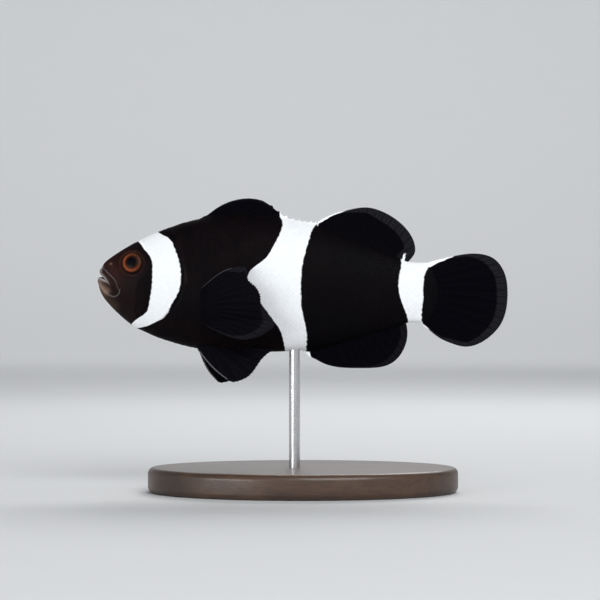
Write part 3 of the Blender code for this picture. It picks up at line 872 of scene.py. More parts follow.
def warmthAt(behind, above):
    # brownish on the upper side, on the chest and in a cloud before the tail, bluish elsewhere
    back = smoothStep(*face["backAbove"], above) * (1 - smoothStep(*face["backBehind"], behind))
    back = back * (1 - 0.5 * smoothStep(*face["ridgeAbove"], above))
    (cloudBehind, cloudAbove), strength, width = face["rearCloud"]
    rear = strength * bell(np.hypot((behind - cloudBehind) / face["rearLonger"], above - cloudAbove), width)
    chest = smoothStep(*face["chestBelow"], -above) * (1 - smoothStep(*face["chestBehind"], behind))
    return np.clip(back + rear + chest + face["leastWarmth"], 0, 1)


def finishSkin():
    # the skin's attributes: the lips' edges are paler row by row, and painted shade darkens the mouth inwards
    mesh, points = makeSkin()
    behind, above = points[:, 0], points[:, 2]
    brown, chin, lip, nostril = faceTones(behind, above)
    columns, insideRows = body["columns"], len(mouth["closing"])
    edge = np.zeros(len(points))
    pale = np.repeat(mouth["paleRows"], columns)
    edge[(insideRows - 1) * columns:][:len(pale)] = pale
    # painted shade: the mouth's rows darken from its opening to its inner end
    depth = np.zeros(len(points))
    depth[:insideRows * columns] = np.repeat(np.linspace(1, 0, insideRows + 1)[:-1], columns)
    addNumbers(mesh, mouthDepth=depth, barDepth=barDepth(behind, above), brown=brown, chin=chin,
               lip=np.maximum(lip, edge), nostril=nostril, eyeRim=eyeRim(behind, above),
               tone=np.full(len(points), 0.3), warmth=warmthAt(behind, above))
    addPiece("skin", mesh, skinMaterial("wetSkin", False),
             ("head", "lower_jaw", "gill_cover_left", "gill_cover_right", "trunk", "tail_stalk"))
    print("skin:", len(mesh.polygons), "faces")


finishSkin()


scales = {
    # rows: length that shows of each, width of a scale, how far the lattice reaches round and along the body
    "trunk": {"pitch": 0.98, "width": 0.84, "around": 17.6, "first": 3.0, "beforeEnd": 0.9},
    "cheek": {"pitch": 0.70, "width": 0.60, "around": 16.2, "first": 2.0, "last": 17.5},
    "overlap": 1.42,          # a scale's whole length against the pitch
    "rows": [0, 0.42, 0.78, 1.0],    # of points, from root to free edge
    "columns": 5,
    "lift": 0.068,            # how far its free edge stands over the skin
    "bury": 0.040,            # how far its root lies under the skin
    "crown": 0.030,           # how far its middle stands over its sides
    "point": 0.34,            # how much shorter it is at its sides than in its middle
    "halfWidth": 0.56,        # against the spacing
    "swelling": (0.78, 0.30, 0.62),    # width at the root, how much more, and half waves from root to edge
    "sizeSpread": 0.06,       # how far sizes, places and lifts differ from scale to scale
    "placeSpread": 0.05,
    "liftSpread": 0.012,
    "bareRoundEye": 2.9,
    "behindGill": 0.02,       # how far the trunk's scales start behind the gill opening's edge
    "beforeGill": 0.35,       # how far the cheek's roots end before it
    # the map for baking: the unrolled skin's corner and size, and the size of each scale's patch on it
    "mapCorner": (-2, -20),
    "mapSize": (74, 40),
    "patch": 0.003,
    # the darker free edge is partly the scale's own margin and partly painted shade of the overlap
    "rimFrom": 0.6,           # along a scale, where its darker free edge begins
    "seed": 7,
}


def flowTable():
    # for one side: the skin's points and normals by ring row and column, each ring's length measured from
    # its side point, and where on the ring each such length falls
    half = body["columns"] // 2
    quarter = half // 2
    points = skinSurface[:, :half + 1]
    steps = np.linalg.norm(np.diff(points, axis=1), axis=2)
    around = np.concatenate([np.zeros((len(points), 1)), np.cumsum(steps, axis=1)], axis=1)
    around = around[:, quarter:quarter + 1] - around          # + is up from the side point
    heights = np.linspace(around.min(), around.max(), 260)
    column = np.stack([np.interp(heights, ring[::-1], np.arange(half, -1, -1)) for ring in around])
    return {"points": points, "normals": gridNormals(skinSurface)[:, :half + 1], "around": around,
            "length": pathLength(points[:, quarter]), "heights": heights, "column": column}


def bilinear(table, i, j):
    # table read between its four nearest entries
    i = np.clip(i, 0, table.shape[0] - 1.001)
    j = np.clip(j, 0, table.shape[1] - 1.001)
    i0, j0 = i.astype(int), j.astype(int)
    di, dj = i - i0, j - j0
    if table.ndim == 3:
        di, dj = di[..., None], dj[..., None]
    top = table[i0, j0] * (1 - dj) + table[i0, j0 + 1] * dj
    low = table[i0 + 1, j0] * (1 - dj) + table[i0 + 1, j0 + 1] * dj
    return top * (1 - di) + low * di


def flowPoint(flow, s, a):
    # the skin's point and normal at length s along the side line and a round the body from it
    i = np.interp(s, flow["length"], np.arange(len(flow["length"])))
    k = (a - flow["heights"][0]) / (flow["heights"][1] - flow["heights"][0])
    j = bilinear(flow["column"], i, k)
    return bilinear(flow["points"], i, j), unit(bilinear(flow["normals"], i, j))


def scaleRoots(flow, kind):
    # a lattice of roots, every other row half a width over, wherever the body is that deep
    last = kind.get("last", flow["length"][-1] - kind.get("beforeEnd", 0))
    s = np.arange(kind["first"], last, kind["pitch"] / 2)
    a = np.arange(-kind["around"], kind["around"], kind["width"])
    sGrid, aGrid = np.meshgrid(s, a, indexing="ij")
    aGrid = aGrid + (np.arange(len(s)) % 2)[:, None] * kind["width"] / 2
    sGrid, aGrid = sGrid.ravel(), aGrid.ravel()
    ringNumbers = np.arange(len(flow["length"]))
    i = np.interp(sGrid, flow["length"], ringNumbers)
    top = np.interp(i, ringNumbers, flow["around"][:, 0])
    bottom = np.interp(i, ringNumbers, flow["around"][:, -1])
    keep = (aGrid < top - 0.05) & (aGrid > bottom + 0.05)
    return sGrid[keep], aGrid[keep]


def scaleSheet(flow, s, a, kind, rng):
    # every scale is a plate: its free edge is a parabola across, its width swells by a sine and is greatest
    # four fifths of the way along, it rises in a line from root to edge and is crowned across by a parabola
    count = (len(s), 1, 1)
    size = 1 + rng.uniform(-scales["sizeSpread"], scales["sizeSpread"], count)
    row = np.array(scales["rows"])[None, :, None]
    across = np.linspace(-1, 1, scales["columns"])[None, None, :]
    moved = rng.uniform(-scales["placeSpread"], scales["placeSpread"], count)
    along = kind["pitch"] * scales["overlap"] * size * row * (1 - scales["point"] * across**2 * row) + moved
    narrow, swell, turn = scales["swelling"]
    wide = scales["halfWidth"] * kind["width"] * size * (narrow + swell * np.sin(row * math.pi * turn))
    lift = scales["lift"] * row - scales["bury"] * (1 - row)
    lift = lift + scales["crown"] * (1 - across**2) * (0.4 + 0.6 * row)
    lift = lift + rng.uniform(-scales["liftSpread"], scales["liftSpread"], count) * row
    lift = lift * kind["width"] / scales["trunk"]["width"]
    place, normal = flowPoint(flow, s[:, None, None] + along, a[:, None, None] + wide * across)
    return place + normal * np.broadcast_to(lift, place.shape[:3])[..., None]


def scaleFaces(count):
    # for each plate: its upper side, its under side straight across between its two edges, and the two ends
    rows, columns = len(scales["rows"]), scales["columns"]
    upper = gridQuads(rows, columns)[:, ::-1]
    left = np.arange(rows) * columns
    right = left + columns - 1
    under = np.stack([left[:-1], left[1:], right[1:], right[:-1]], axis=1)[:, ::-1]
    across = np.arange(1, columns - 1)
    root = np.stack([0 * across, across, across + 1], axis=1)
    tip = np.stack([0 * across, across + 1, across], axis=1) + left[-1]
    shift = (np.arange(count) * rows * columns)[:, None, None]
    quads = np.concatenate([(part[None] + shift).reshape(-1, 4) for part in (upper, under)])
    return quads, (np.concatenate([root, tip])[None] + shift).reshape(-1, 3)


def scaledHere(place):
    # the snout, the chin and a ring round the eye are bare
    behind, above = place[:, 0], place[:, 2]
    pastEye = farFrom(behind, above, head["eyeAt"]) > scales["bareRoundEye"]
    return (behind > bareEdgeAt(above)) & pastEye


def gillSide(place):
    # how far behind the gill opening's edge a place lies; before it the distance is -
    away, side, _ = lineDistance(place[:, 0], place[:, 2], head["gillEdge"])
    return np.where(side > 0, away, -away)


def scalesOfOneSide():
    # the left side's scales, first the trunk's and then the cheek's: their points and, for each point, its
    # scale's root, tone and place on the unrolled skin
    flow = flowTable()
    rng = np.random.default_rng(scales["seed"])
    each = len(scales["rows"]) * scales["columns"]
    sheets = []
    for kind in (scales["trunk"], scales["cheek"]):
        s, a = scaleRoots(flow, kind)
        root, _ = flowPoint(flow, s, a)
        behindGill = gillSide(root)
        onTrunk, onCheek = behindGill > scales["behindGill"], behindGill < -scales["beforeGill"]
        keep = scaledHere(root) & (onTrunk if kind is scales["trunk"] else onCheek)
        s, a, root = s[keep], a[keep], root[keep]
        points = scaleSheet(flow, s, a, kind, rng)
        tone = rng.uniform(0, 1, len(s))
        perScale = (root, tone, np.stack([s, a], axis=1))
        sheets.append((points.reshape(-1, 3), *(np.repeat(values, each, axis=0) for values in perScale)))
    return (np.concatenate([sheet[k] for sheet in sheets]) for k in range(4))


def addBakeMap(mesh, unrolled, within):
    # every scale is a small patch at its root's place on the unrolled skin
    layer = mesh.uv_layers.new(name="OFBake")
    corners = np.empty(len(mesh.loops), np.int32)
    mesh.loops.foreach_get("vertex_index", corners)
    at = (unrolled - scales["mapCorner"]) / scales["mapSize"] + (within - 0.5) * scales["patch"]
    layer.data.foreach_set("uv", at[corners].astype(np.float32).ravel())


def makeScales():
    # the left side's scales and their mirror image; a scale's tones are those at its root, but a bar's edge
    # runs across it
    points, root, tone, unrolled = scalesOfOneSide()
    alongAcross = np.meshgrid(scales["rows"], np.linspace(0, 1, scales["columns"]), indexing="ij")
    within = np.stack(alongAcross, axis=-1).reshape(-1, 2)
    count = len(points) // len(within)
    within = np.tile(within, (count, 1))
    quads, triangles = scaleFaces(count)
    brown, chin, _, _ = faceTones(root[:, 0], root[:, 2])
    rim = smoothStep(scales["rimFrom"], 1, within[:, 0])
    material = skinMaterial("wetScales", True)
    for side, word in leftAndRight:
        mesh = sideMesh("scales_" + word, side, points, quads, triangles)
        mesh.set_sharp_from_angle(angle=math.radians(60))
        addNumbers(mesh, barDepth=barDepth(points[:, 0], points[:, 2]), brown=brown, chin=chin, tone=tone,
                   warmth=warmthAt(root[:, 0], root[:, 2]), rim=rim)
        addBakeMap(mesh, unrolled, within)
        addPiece("scales_" + word, mesh, material, ())
    print("scales:", count, "on each side")


makeScales()


def rayDistance(fin, u, v):
    # distance, in ray spacings, to the nearest branch of a ray that forks once and again; the rays lie back
    # towards the tail by a power of u
    f = u ** (1 + fin["lean"] * v) * fin["rays"]
    f = f - np.floor(f) - 0.5
    forks = fin["forks"]
    one = 0.25 * smoothStep(forks[0], 1.05, v) if forks else 0
    two = 0.125 * smoothStep(forks[1], 1.08, v) if forks else 0
    return np.abs(np.abs(np.abs(f) - one) - two)


def flatFin(fin, u, v, root, margin):
    # straight rays fan from the root line to the margin line; between the rays' ends the margin is notched,
    # and each end may hook back
    uGrid, vGrid = np.meshgrid(u, v)
    tipWidth = fin["rayWidth"][1]
    edge = rayDistance(fin, u, np.ones_like(u))
    notch = between(fin["notch"], smoothStep(*fin["notchChange"], u))
    span = np.linalg.norm(margin - root, axis=1)
    dip = notch * (1 - bell(edge, tipWidth * fin["notchWidth"])) / np.maximum(span, fin["leastSpan"])
    reach = vGrid * (1 - dip[None, :] * smoothStep(fin["notchFrom"], 1, vGrid))
    flat = root[None] + (margin - root)[None] * reach[..., None]
    hook = bell(edge, tipWidth * fin["hookWidth"]) * notch * fin["hook"]
    flat[..., 0] += smoothStep(fin["hookFrom"], 1, vGrid) * hook[None, :]
    ray = bell(rayDistance(fin, uGrid, vGrid), between(fin["rayWidth"], vGrid))
    return flat, ray, span[None, :] * vGrid


def halfThickness(fin, u, v, ray):
    # thick at the root, thin at the margin, raised in a rounded cord along every ray, and rounded off at its
    # outer edges
    uGrid, vGrid = np.meshgrid(u, v)
    thin = 1 - vGrid
    half = between(fin["thick"][::-1], thin**2) + ray * between(fin["rayHeight"][::-1], thin)
    marginThin, marginWide, sideThin, sideWide = fin["rounding"]
    atMargin = between((marginThin, 1), smoothStep(0, marginWide, thin))
    atSides = between((sideThin, 1), smoothStep(0, sideWide, np.minimum(uGrid, 1 - uGrid)))
    return half * atMargin * atSides


def bladeShell(middle, half):
    # a closed blade: two copies of a grid, moved apart along its normals by half the thickness, and a rim
    rows, columns = half.shape
    count = rows * columns
    normal = unit(np.cross(np.gradient(middle, axis=1), np.gradient(middle, axis=0)))
    normal *= np.where(normal[..., 1:2] > 0, -1, 1)
    outer = middle + normal * half[..., None]
    inner = middle - normal * half[..., None]
    points = np.concatenate([outer.reshape(-1, 3), inner.reshape(-1, 3)])
    front = gridQuads(rows, columns)
    rootEdge = np.arange(columns)
    rearEdge = np.arange(2 * columns - 1, count, columns)
    outerEdge = np.arange(count - 2, count - columns - 1, -1)
    frontEdge = np.arange(count - 2 * columns, 0, -columns)
    rim = np.concatenate([rootEdge, rearEdge, outerEdge, frontEdge])
    after = np.roll(rim, -1)
    wall = np.stack([after, rim, rim + count, after + count], axis=1)
    quads = np.concatenate([front, front[:, ::-1] + count, wall])
    a, b, d = points[front[columns // 2][[0, 1, 3]]]
    looksInwards = np.cross(b - a, d - a)[1] > 0
    return points, quads[:, ::-1] if looksInwards else quads


def nearOutline(behind, above, root, margin):
    # distance to the fin's outline, and the nearest place's share of its length from the fin's front foot
    shares = np.linspace(0, 1, 8)[:, None]
    frontEdge = between((root[:1], margin[:1]), shares)
    rearEdge = between((margin[-1:], root[-1:]), shares)
    outline = np.concatenate([frontEdge, margin[1:-1:3], rearEdge])
    away, _, nearest = nearestOnLine(behind, above, outline)
    length = pathLength(outline)
    return away, np.interp(nearest, np.arange(len(outline)), length) / length[-1]


def finPiece(name, fin, side, nodes):
    # a fin as a thin closed blade with its rays, notches and margins
    u = np.linspace(0, 1, fin["columns"])
    v = np.linspace(0, 1, fin["rows"]) ** 0.9
    root = alongCurve(fin["root"], u)
    margin = alongCurve(fin["margin"], u)
    flat, ray, along = flatFin(fin, u, v, root, margin)
    behind, above = flat[..., 0], flat[..., 1]
    points, quads = bladeShell(fin["place"](fin, behind, above), halfThickness(fin, u, v, ray))
    mesh = sideMesh(name, side, points, quads)
    near = nearOutline(behind, above, root, margin)
    white, grey = fin["colours"](fin, behind, above, near, ray)
    addNumbers(mesh, **{word: np.tile(values.ravel(), 2) for word, values in
                        (("white", white), ("grey", grey), ("ray", ray), ("along", along))})
    addPiece(name, mesh, wetFin, nodes)


def band(near, widths, soft=0.10):
    # 1 within a band along the outline; widths holds (share of the outline's length, width in mm)
    away, share = near
    return 1 - smoothStep(-soft, soft, away - np.interp(share, *np.array(widths).T))


def onMidline(fin, behind, above):
    # the fin stands in the fish's middle plane
    return np.stack([behind, np.zeros_like(behind), above], axis=-1)


def midlineRoot(ends, top, into, atFront=1.0):
    # along the back or belly between two distances behind the lip, this far inside it, less at its front
    rows = ringsAt(np.linspace(0, len(body["rings"]) - 1, 400))
    column = 0 if top else 2
    behind = np.linspace(*ends, 60)
    edge = np.interp(behind, rows[:, column], rows[:, column + 1])
    inside = into * (atFront + (1 - atFront) * smoothStep(0, 2.5, behind - ends[0]))
    return np.stack([behind, edge - inside * (1 if top else -1)], axis=1)


# each fin's colours are two numbers for every point: how white and how grey it is
def spinyColours(fin, behind, above, near, ray):
    # the middle bar runs up the spines; the margin is grey, less towards the rear
    white = barWhite(behind, np.minimum(above, fin["barTop"]))
    return white, band(near, fin["grey"]) * (1 - 0.4 * smoothStep(24, 34, behind))


def softColours(fin, behind, above, near, ray):
    # white along the front edge and in a tuft before the tail's bar, grey behind
    tuftBehind, tuftAbove = fin["tuftAt"]
    streak = np.abs(behind - tuftBehind - 0.25 * (above - tuftAbove))
    tuft = smoothStep(0.0, 0.1, 0.30 - streak) * smoothStep(5.9, 5.3, above + 0.5 * ray)
    white = np.maximum(band(near, fin["white"]), tuft * (behind > 58))
    return np.maximum(white, barWhite(behind, above) * (behind < 46)), band(near, fin["grey"])


def analColours(fin, behind, above, near, ray):
    # white at the front foot, a faint grey margin
    white = np.maximum(band(near, fin["white"]), barWhite(behind, above))
    return white, 0.5 * band(near, fin["grey"])


def tailColours(fin, behind, above, near, ray):
    # the tail's bar covers the root and runs out along the upper and lower edge, grey behind
    heights, places = np.array(markings["tailBar"][1]).T
    rootWhite = 1 - smoothStep(-0.1, 0.1, behind - np.interp(above, heights, places))
    return np.maximum(rootWhite, band(near, fin["white"])), band(near, fin["grey"])


def pectoralColours(fin, behind, above, near, ray):
    # a pale leading edge, and a grey margin over a dark grey fin
    leading = band(near, fin["leading"], 0.06)
    return 0.05 * leading, 0.12 + 0.88 * np.maximum(0.78 * band(near, fin["grey"], 0.15), leading)


def pelvicColours(fin, behind, above, near, ray):
    # a pale spine in front, and a faint grey margin over a dark grey fin
    spine = band(near, fin["spine"], 0.06)
    return 0.10 * spine, 0.12 + 0.88 * np.maximum(spine, 0.3 * band(near, fin["grey"]))


def halfWidthAt(behind, above):
    # how far the body's side stands from the midline at one place of the side view
    rows, turns = np.meshgrid(np.linspace(0, 6, 400), np.linspace(0, math.pi, 200), indexing="ij")
    surface = bodySurface(rows, turns).reshape(-1, 3)
    return abs(surface[np.argmin(farFrom(surface[:, 0], surface[:, 2], (behind, above))), 1])


def pectoralPlace(fin, behind, above):
    # the fin grows out of the flank at its root, stands out behind in a straight slope and is cupped across
    ring = bodySurface(np.full(181, 6.0), np.linspace(0, math.pi, 181))
    rootHeight = np.clip(above, *fin["rootHeights"])
    flank = np.interp(rootHeight, ring[::-1, 2], -ring[::-1, 1])
    reach = behind - fin["start"][0]
    level = (above - fin["start"][1]) / fin["halfHeight"]
    out = flank + fin["proud"] + reach * math.tan(math.radians(fin["splay"]))
    out = out - fin["sunk"] * (1 - smoothStep(*fin["emerges"], reach))
    return np.stack([behind, -(out - fin["cup"] * level**2 * np.maximum(reach, 0)), above], axis=-1)


def pelvicPlace(fin, behind, above):
    # the fin hangs from the belly beside the midline, leans outwards and is swung forward with its depth
    drop = fin["top"] - above
    out = fin["apart"] + drop * math.tan(math.radians(fin["splay"]))
    return np.stack([behind - fin["swing"] * drop, -out, above - fin["dip"] * fin["swing"] * drop], axis=-1)


# Root and margin are lines of points (behind, above); rays fork at these shares of their length. Thickness,
# the rays' width in ray spacings and their height over the skin go from the root to the margin. The notches
# between the rays' ends go from one depth to another between two shares of the margin. Bands of colour are
# (share of the outline from the front foot, width).
anyFin = {
    "lean": 0,
    "forks": (0.35, 0.68),
    "rayWidth": (0.17, 0.045),
    "notchChange": (0, 1),
    "notchWidth": 1.3,        # of a ray's end, in ray widths, and from which share of the rays' length
    "notchFrom": 0.75,
    "leastSpan": 0.4,         # the shortest ray that a notch's depth is set against
    "hook": 0,                # how far a ray's end leans back, against the notch, how wide and from where
    "hookWidth": 1.8,
    "hookFrom": 0.7,
    # thickness at the margin and within how much of the rays' length it is full; the same for the sides
    "rounding": (0.25, 0.035, 0.3, 0.015),
}

spinyFin = {
    **anyFin,
    "root": midlineRoot((20.2, 43.4), True, 0.9),
    "margin": [(20.4, 12.65), (21.6, 13.3), (23.0, 14.35), (28.3, 16.6), (33.3, 16.05), (38.0, 13.0),
               (39.4, 12.6), (43.8, 12.15)],
    "rays": 11, "forks": None, "lean": 1.3, "hook": 1.3, "columns": 309, "rows": 60,
    "thick": (0.50, 0.06), "rayWidth": (0.17, 0.10), "rayHeight": (0.16, 0.08),
    "notch": (0.02, 0.36), "notchChange": (0.50, 0.75),
    "place": onMidline, "colours": spinyColours, "barTop": 13.4,
    "grey": [(0, 0.1), (0.12, 0.20), (0.35, 0.30), (0.5, 0.42), (0.62, 0.25), (1, 0.1)],
}
softFin = {
    **anyFin,
    "root": midlineRoot((43.6, 61.3), True, 0.9),
    "margin": [(43.9, 12.1), (46.4, 13.4), (49.8, 14.4), (53.6, 14.95), (57.4, 13.85), (61.2, 11.1),
               (63.2, 7.8), (63.3, 5.9), (62.2, 4.3)],
    "rays": 15, "columns": 361, "rows": 90,
    "thick": (0.50, 0.055), "rayHeight": (0.040, 0.030), "notch": (0.06, 0.06),
    "place": onMidline, "colours": softColours, "tuftAt": (61.0, 4.6),
    "white": [(0, 0.05), (0.06, 0.10), (0.085, 0.42), (0.13, 0.34), (0.20, 0.25), (0.25, 0.19), (0.29, -0.05),
              (0.31, -1), (1, -1)],
    "grey": [(0, -1), (0.20, -0.5), (0.26, 0.3), (0.29, 0.5), (0.34, 0.85), (0.42, 1.15), (0.48, 1.6),
             (0.55, 1.95), (0.70, 2.05), (0.83, 2.2), (1, 2.5)],
}
analFin = {
    **anyFin,
    "root": midlineRoot((40.35, 61.2), False, 0.9, 0.30),
    "margin": [(42.3, -15.05), (43.1, -15.3), (44.3, -15.95), (52.6, -17.25), (58.9, -16.1), (61.8, -9.8),
               (61.6, -8.5)],
    "rays": 14, "columns": 337, "rows": 80,
    "thick": (0.50, 0.055), "rayHeight": (0.040, 0.030), "notch": (0.06, 0.06),
    "place": onMidline, "colours": analColours,
    "white": [(0, 1.1), (0.04, 0.95), (0.070, 0.62), (0.085, 0.30), (0.10, 0.05), (0.11, -1), (1, -1)],
    "grey": [(0, 0.15), (0.10, 0.30), (0.20, 0.22), (0.46, 0.25), (0.53, 0.5), (0.60, 0.9), (0.67, 1.3),
             (0.74, 1.5), (0.88, 1.4), (1, 1.3)],
}
tailFin = {
    **anyFin,
    "root": [(63.6, 3.2), (64.2, 0.6), (64.4, -2.0), (64.2, -4.8), (63.6, -7.4)],
    "margin": [(66.6, 4.12), (70.0, 4.95), (75.4, 5.7), (79.1, 4.7), (81.5, 1.0), (81.85, -1.9), (80.4, -8.6),
               (79.1, -10.2), (73.2, -12.95), (70.5, -12.25), (68.2, -11.2), (66.0, -9.5), (64.7, -8.5)],
    "rays": 16, "forks": (0.28, 0.6), "columns": 385, "rows": 110,
    "thick": (0.80, 0.055), "rayHeight": (0.020, 0.030), "notch": (0.05, 0.05),
    "place": onMidline, "colours": tailColours,
    "white": [(0, 0.5), (0.07, 0.42), (0.11, 0.30), (0.15, 0.12), (0.18, -1), (0.88, -1), (0.94, 0.16),
              (1, 0.3)],
    "grey": [(0, 0.2), (0.13, 0.3), (0.20, 0.45), (0.23, 0.75), (0.28, 1.5), (0.33, 2.1), (0.46, 2.2),
             (0.57, 2.0), (0.68, 1.5), (0.77, 0.9), (0.83, 0.85), (0.88, 0.4), (1, 0.2)],
}
pectoralFin = {
    **anyFin,
    "root": [(19.6, -2.4), (20.1, -4.9), (20.2, -7.4)],
    "margin": [(21.6, -0.65), (25.2, 2.1), (26.6, 2.65), (29.95, 2.45), (30.1, 0.75), (31.5, -0.75),
               (32.7, -3.2), (32.8, -4.5), (35.3, -8.7), (34.4, -9.6), (31.1, -11.2), (29.2, -11.45),
               (25.2, -10.4), (22.4, -9.1)],
    "rays": 17, "forks": (0.3, 0.62), "columns": 341, "rows": 100,
    "thick": (0.55, 0.045), "rayWidth": (0.18, 0.05), "rayHeight": (0.07, 0.04),
    "notch": (0.05, 0.24), "notchChange": (0.22, 0.32),
    "place": pectoralPlace, "colours": pectoralColours,
    "splay": 17,              # degrees outwards
    "start": (20.4, -4.9),
    "rootHeights": (-7.6, -2.2),
    "halfHeight": 7,
    "proud": 0.45,            # over the flank, and how deep the root is sunk in it until it emerges
    "sunk": 1.2,
    "emerges": (-0.5, 2.2),
    "cup": 0.0625,
    "grey": [(0, 0.10), (0.17, 0.14), (0.205, 0.7), (0.24, 1.15), (0.275, 1.2), (0.30, 0.6), (0.32, 0.2),
             (0.48, 0.2), (0.51, 0.8), (0.55, 2.0), (0.58, 2.8), (0.61, 2.7), (0.64, 2.1), (0.68, 1.5),
             (0.72, 1.2), (0.77, 0.9), (0.82, 0.5), (0.87, 0.3), (0.93, 0.22), (1, 0.1)],
    "leading": [(0, 0.10), (0.21, 0.14), (0.24, -1), (1, -1)],
}
pelvicFin = {
    **anyFin,
    "root": [(20.0, -11.4), (22.0, -11.9), (24.4, -12.2)],
    "margin": [(19.95, -13.6), (23.8, -17.85), (25.6, -19.2), (26.9, -19.85), (28.4, -19.6), (30.05, -18.8),
               (33.0, -15.1), (35.2, -13.4)],
    "rays": 6, "forks": (0.2, 0.55), "columns": 181, "rows": 90,
    "thick": (0.45, 0.05), "rayWidth": (0.13, 0.05), "rayHeight": (0.08, 0.045), "notch": (0.10, 0.10),
    "place": pelvicPlace, "colours": pelvicColours,
    "splay": 22,              # degrees outwards
    "apart": 2.3,             # from the midline at the top
    "top": -13.4,
    "swings": {"left": 0.0, "right": 0.42},    # how far each is swung forward, against its depth
    "dip": 0.18,              # how much the swing lowers it
    "spine": [(0, -1), (0.055, -1), (0.075, 0.24), (0.31, 0.20), (0.35, -1), (1, -1)],
    "grey": [(0, -1), (0.06, 0.3), (0.68, 0.3), (0.70, -1), (1, -1)],
}


def makeFins():
    finPiece("spiny_dorsal", spinyFin, -1, ("dorsal_fin_spiny",))
    finPiece("soft_dorsal", softFin, -1, ("dorsal_fin_soft",))
    finPiece("anal", analFin, -1, ("anal_fin",))
    finPiece("tail", tailFin, -1, ("caudal_fin",))
    for side, word in leftAndRight:
        finPiece("pectoral_" + word, pectoralFin, side, ("pectoral_fin_" + word,))
        pelvic = {**pelvicFin, "swing": pelvicFin["swings"][word]}
        finPiece("pelvic_" + word, pelvic, side, ("pelvic_fin_" + word,))
    print("fins ready")


wetFin = finMaterial()
makeFins()


eyeball = {
    "radius": 2.50,
    "depth": 1.45,            # half its thickness
    "power": 2.2,             # over 2 the ball is flatter in front than an ellipse
    "proud": 0.55,            # how far it stands out of the head
    "offCentre": (0.22, -0.10),    # from the socket's middle, behind and above
    "turn": (12, 12),         # degrees that it looks up and forward
    "rows": 61,
    "columns": 96,
    # colours by distance in mm from the pupil's centre
    "rings": [
        (0.00, (0.0012, 0.0012, 0.0030)),
        (0.82, (0.0012, 0.0012, 0.0030)),
        (0.95, (0.0060, 0.0022, 0.0012)),
        (1.15, (0.0240, 0.0060, 0.0018)),
        (1.35, (0.0850, 0.0180, 0.0045)),
        (1.55, (0.2100, 0.0550, 0.0240)),
        (1.74, (0.2000, 0.0480, 0.0170)),
        (1.90, (0.0750, 0.0150, 0.0030)),
        (2.02, (0.0160, 0.0050, 0.0030)),
        (2.15, (0.0060, 0.0040, 0.0045)),
    ],
    "shade": (0.012, 0.007, 0.006),
    "streaks": (9.0, 5.0),    # how fine the shade's streaks are round the pupil and outwards
    "streakWeight": 0.95,     # of the shade, and its weights towards the tail and the top, less an offset
    "tailWeight": 0.42,
    "topWeight": 0.20,
    "shadeOffset": -0.14,
    "offPupil": (6.0, -2.2),  # slope and offset of the shade's start outside the pupil
    "roughness": 0.40,
    "specular": 0.03,
    "coat": 0.03,
    "coatRoughness": 0.06,
}


def eyeMaterial():
    # rings round the pupil, shaded in fine streaks that run outwards, most towards the tail and the top
    material, tree, shader = newMaterial("wetEye", eyeball["roughness"], eyeball["specular"])
    reach = eyeball["rings"][-1][0]
    away = mathOut(tree, "DIVIDE", attributeOut(tree, "fromPupil"), reach)
    angle = attributeOut(tree, "roundPupil")
    aroundFine, outwardFine = eyeball["streaks"]
    streakAt = addNode(tree, "CombineXYZ")
    tree.links.new(mathOut(tree, "MULTIPLY", angle, aroundFine), streakAt.inputs["X"])
    tree.links.new(mathOut(tree, "MULTIPLY", away, outwardFine), streakAt.inputs["Y"])
    streak = addNode(tree, "TexNoise", {"noise_dimensions": "2D"}, {"Scale": 1.0, "Detail": 3.0})
    tree.links.new(streakAt.outputs["Vector"], streak.inputs["Vector"])
    rings = rampOut(tree, away, [(distance / reach, colour) for distance, colour in eyeball["rings"]])
    shade = mathOut(tree, "MULTIPLY_ADD", mathOut(tree, "COSINE", angle), eyeball["tailWeight"],
                    eyeball["shadeOffset"])
    shade = mathOut(tree, "MULTIPLY_ADD", mathOut(tree, "SINE", angle), eyeball["topWeight"], shade)
    shade = mathOut(tree, "MULTIPLY_ADD", streak.outputs["Fac"], eyeball["streakWeight"], shade, clamp=True)
    offPupil = mathOut(tree, "MULTIPLY_ADD", away, *eyeball["offPupil"], clamp=True)
    colour = mixColours(tree, mathOut(tree, "MULTIPLY", shade, offPupil), rings, eyeball["shade"])
    tree.links.new(colour, shader.inputs["Base Color"])
    shader.inputs["Coat Weight"].default_value = eyeball["coat"]
    shader.inputs["Coat Roughness"].default_value = eyeball["coatRoughness"]
    return material


def makeBall():
    # a turned ball that looks along +Z: its profile is an ellipse whose sine and cosine are taken to a power
    polar = np.linspace(math.pi, 0, eyeball["rows"])[1:-1]
    turns = np.arange(eyeball["columns"]) * 2 * math.pi / eyeball["columns"]
    p, t = np.meshgrid(polar, turns, indexing="ij")
    wide = eyeball["radius"] * np.sin(p) ** (2 / eyeball["power"])
    high = eyeball["depth"] * np.sign(np.cos(p)) * np.abs(np.cos(p)) ** (2 / eyeball["power"])
    rings = np.stack([wide * np.cos(t), wide * np.sin(t), high], axis=-1)
    return closedRings(rings, (0, 0, eyeball["depth"]), (0, 0, -eyeball["depth"]))


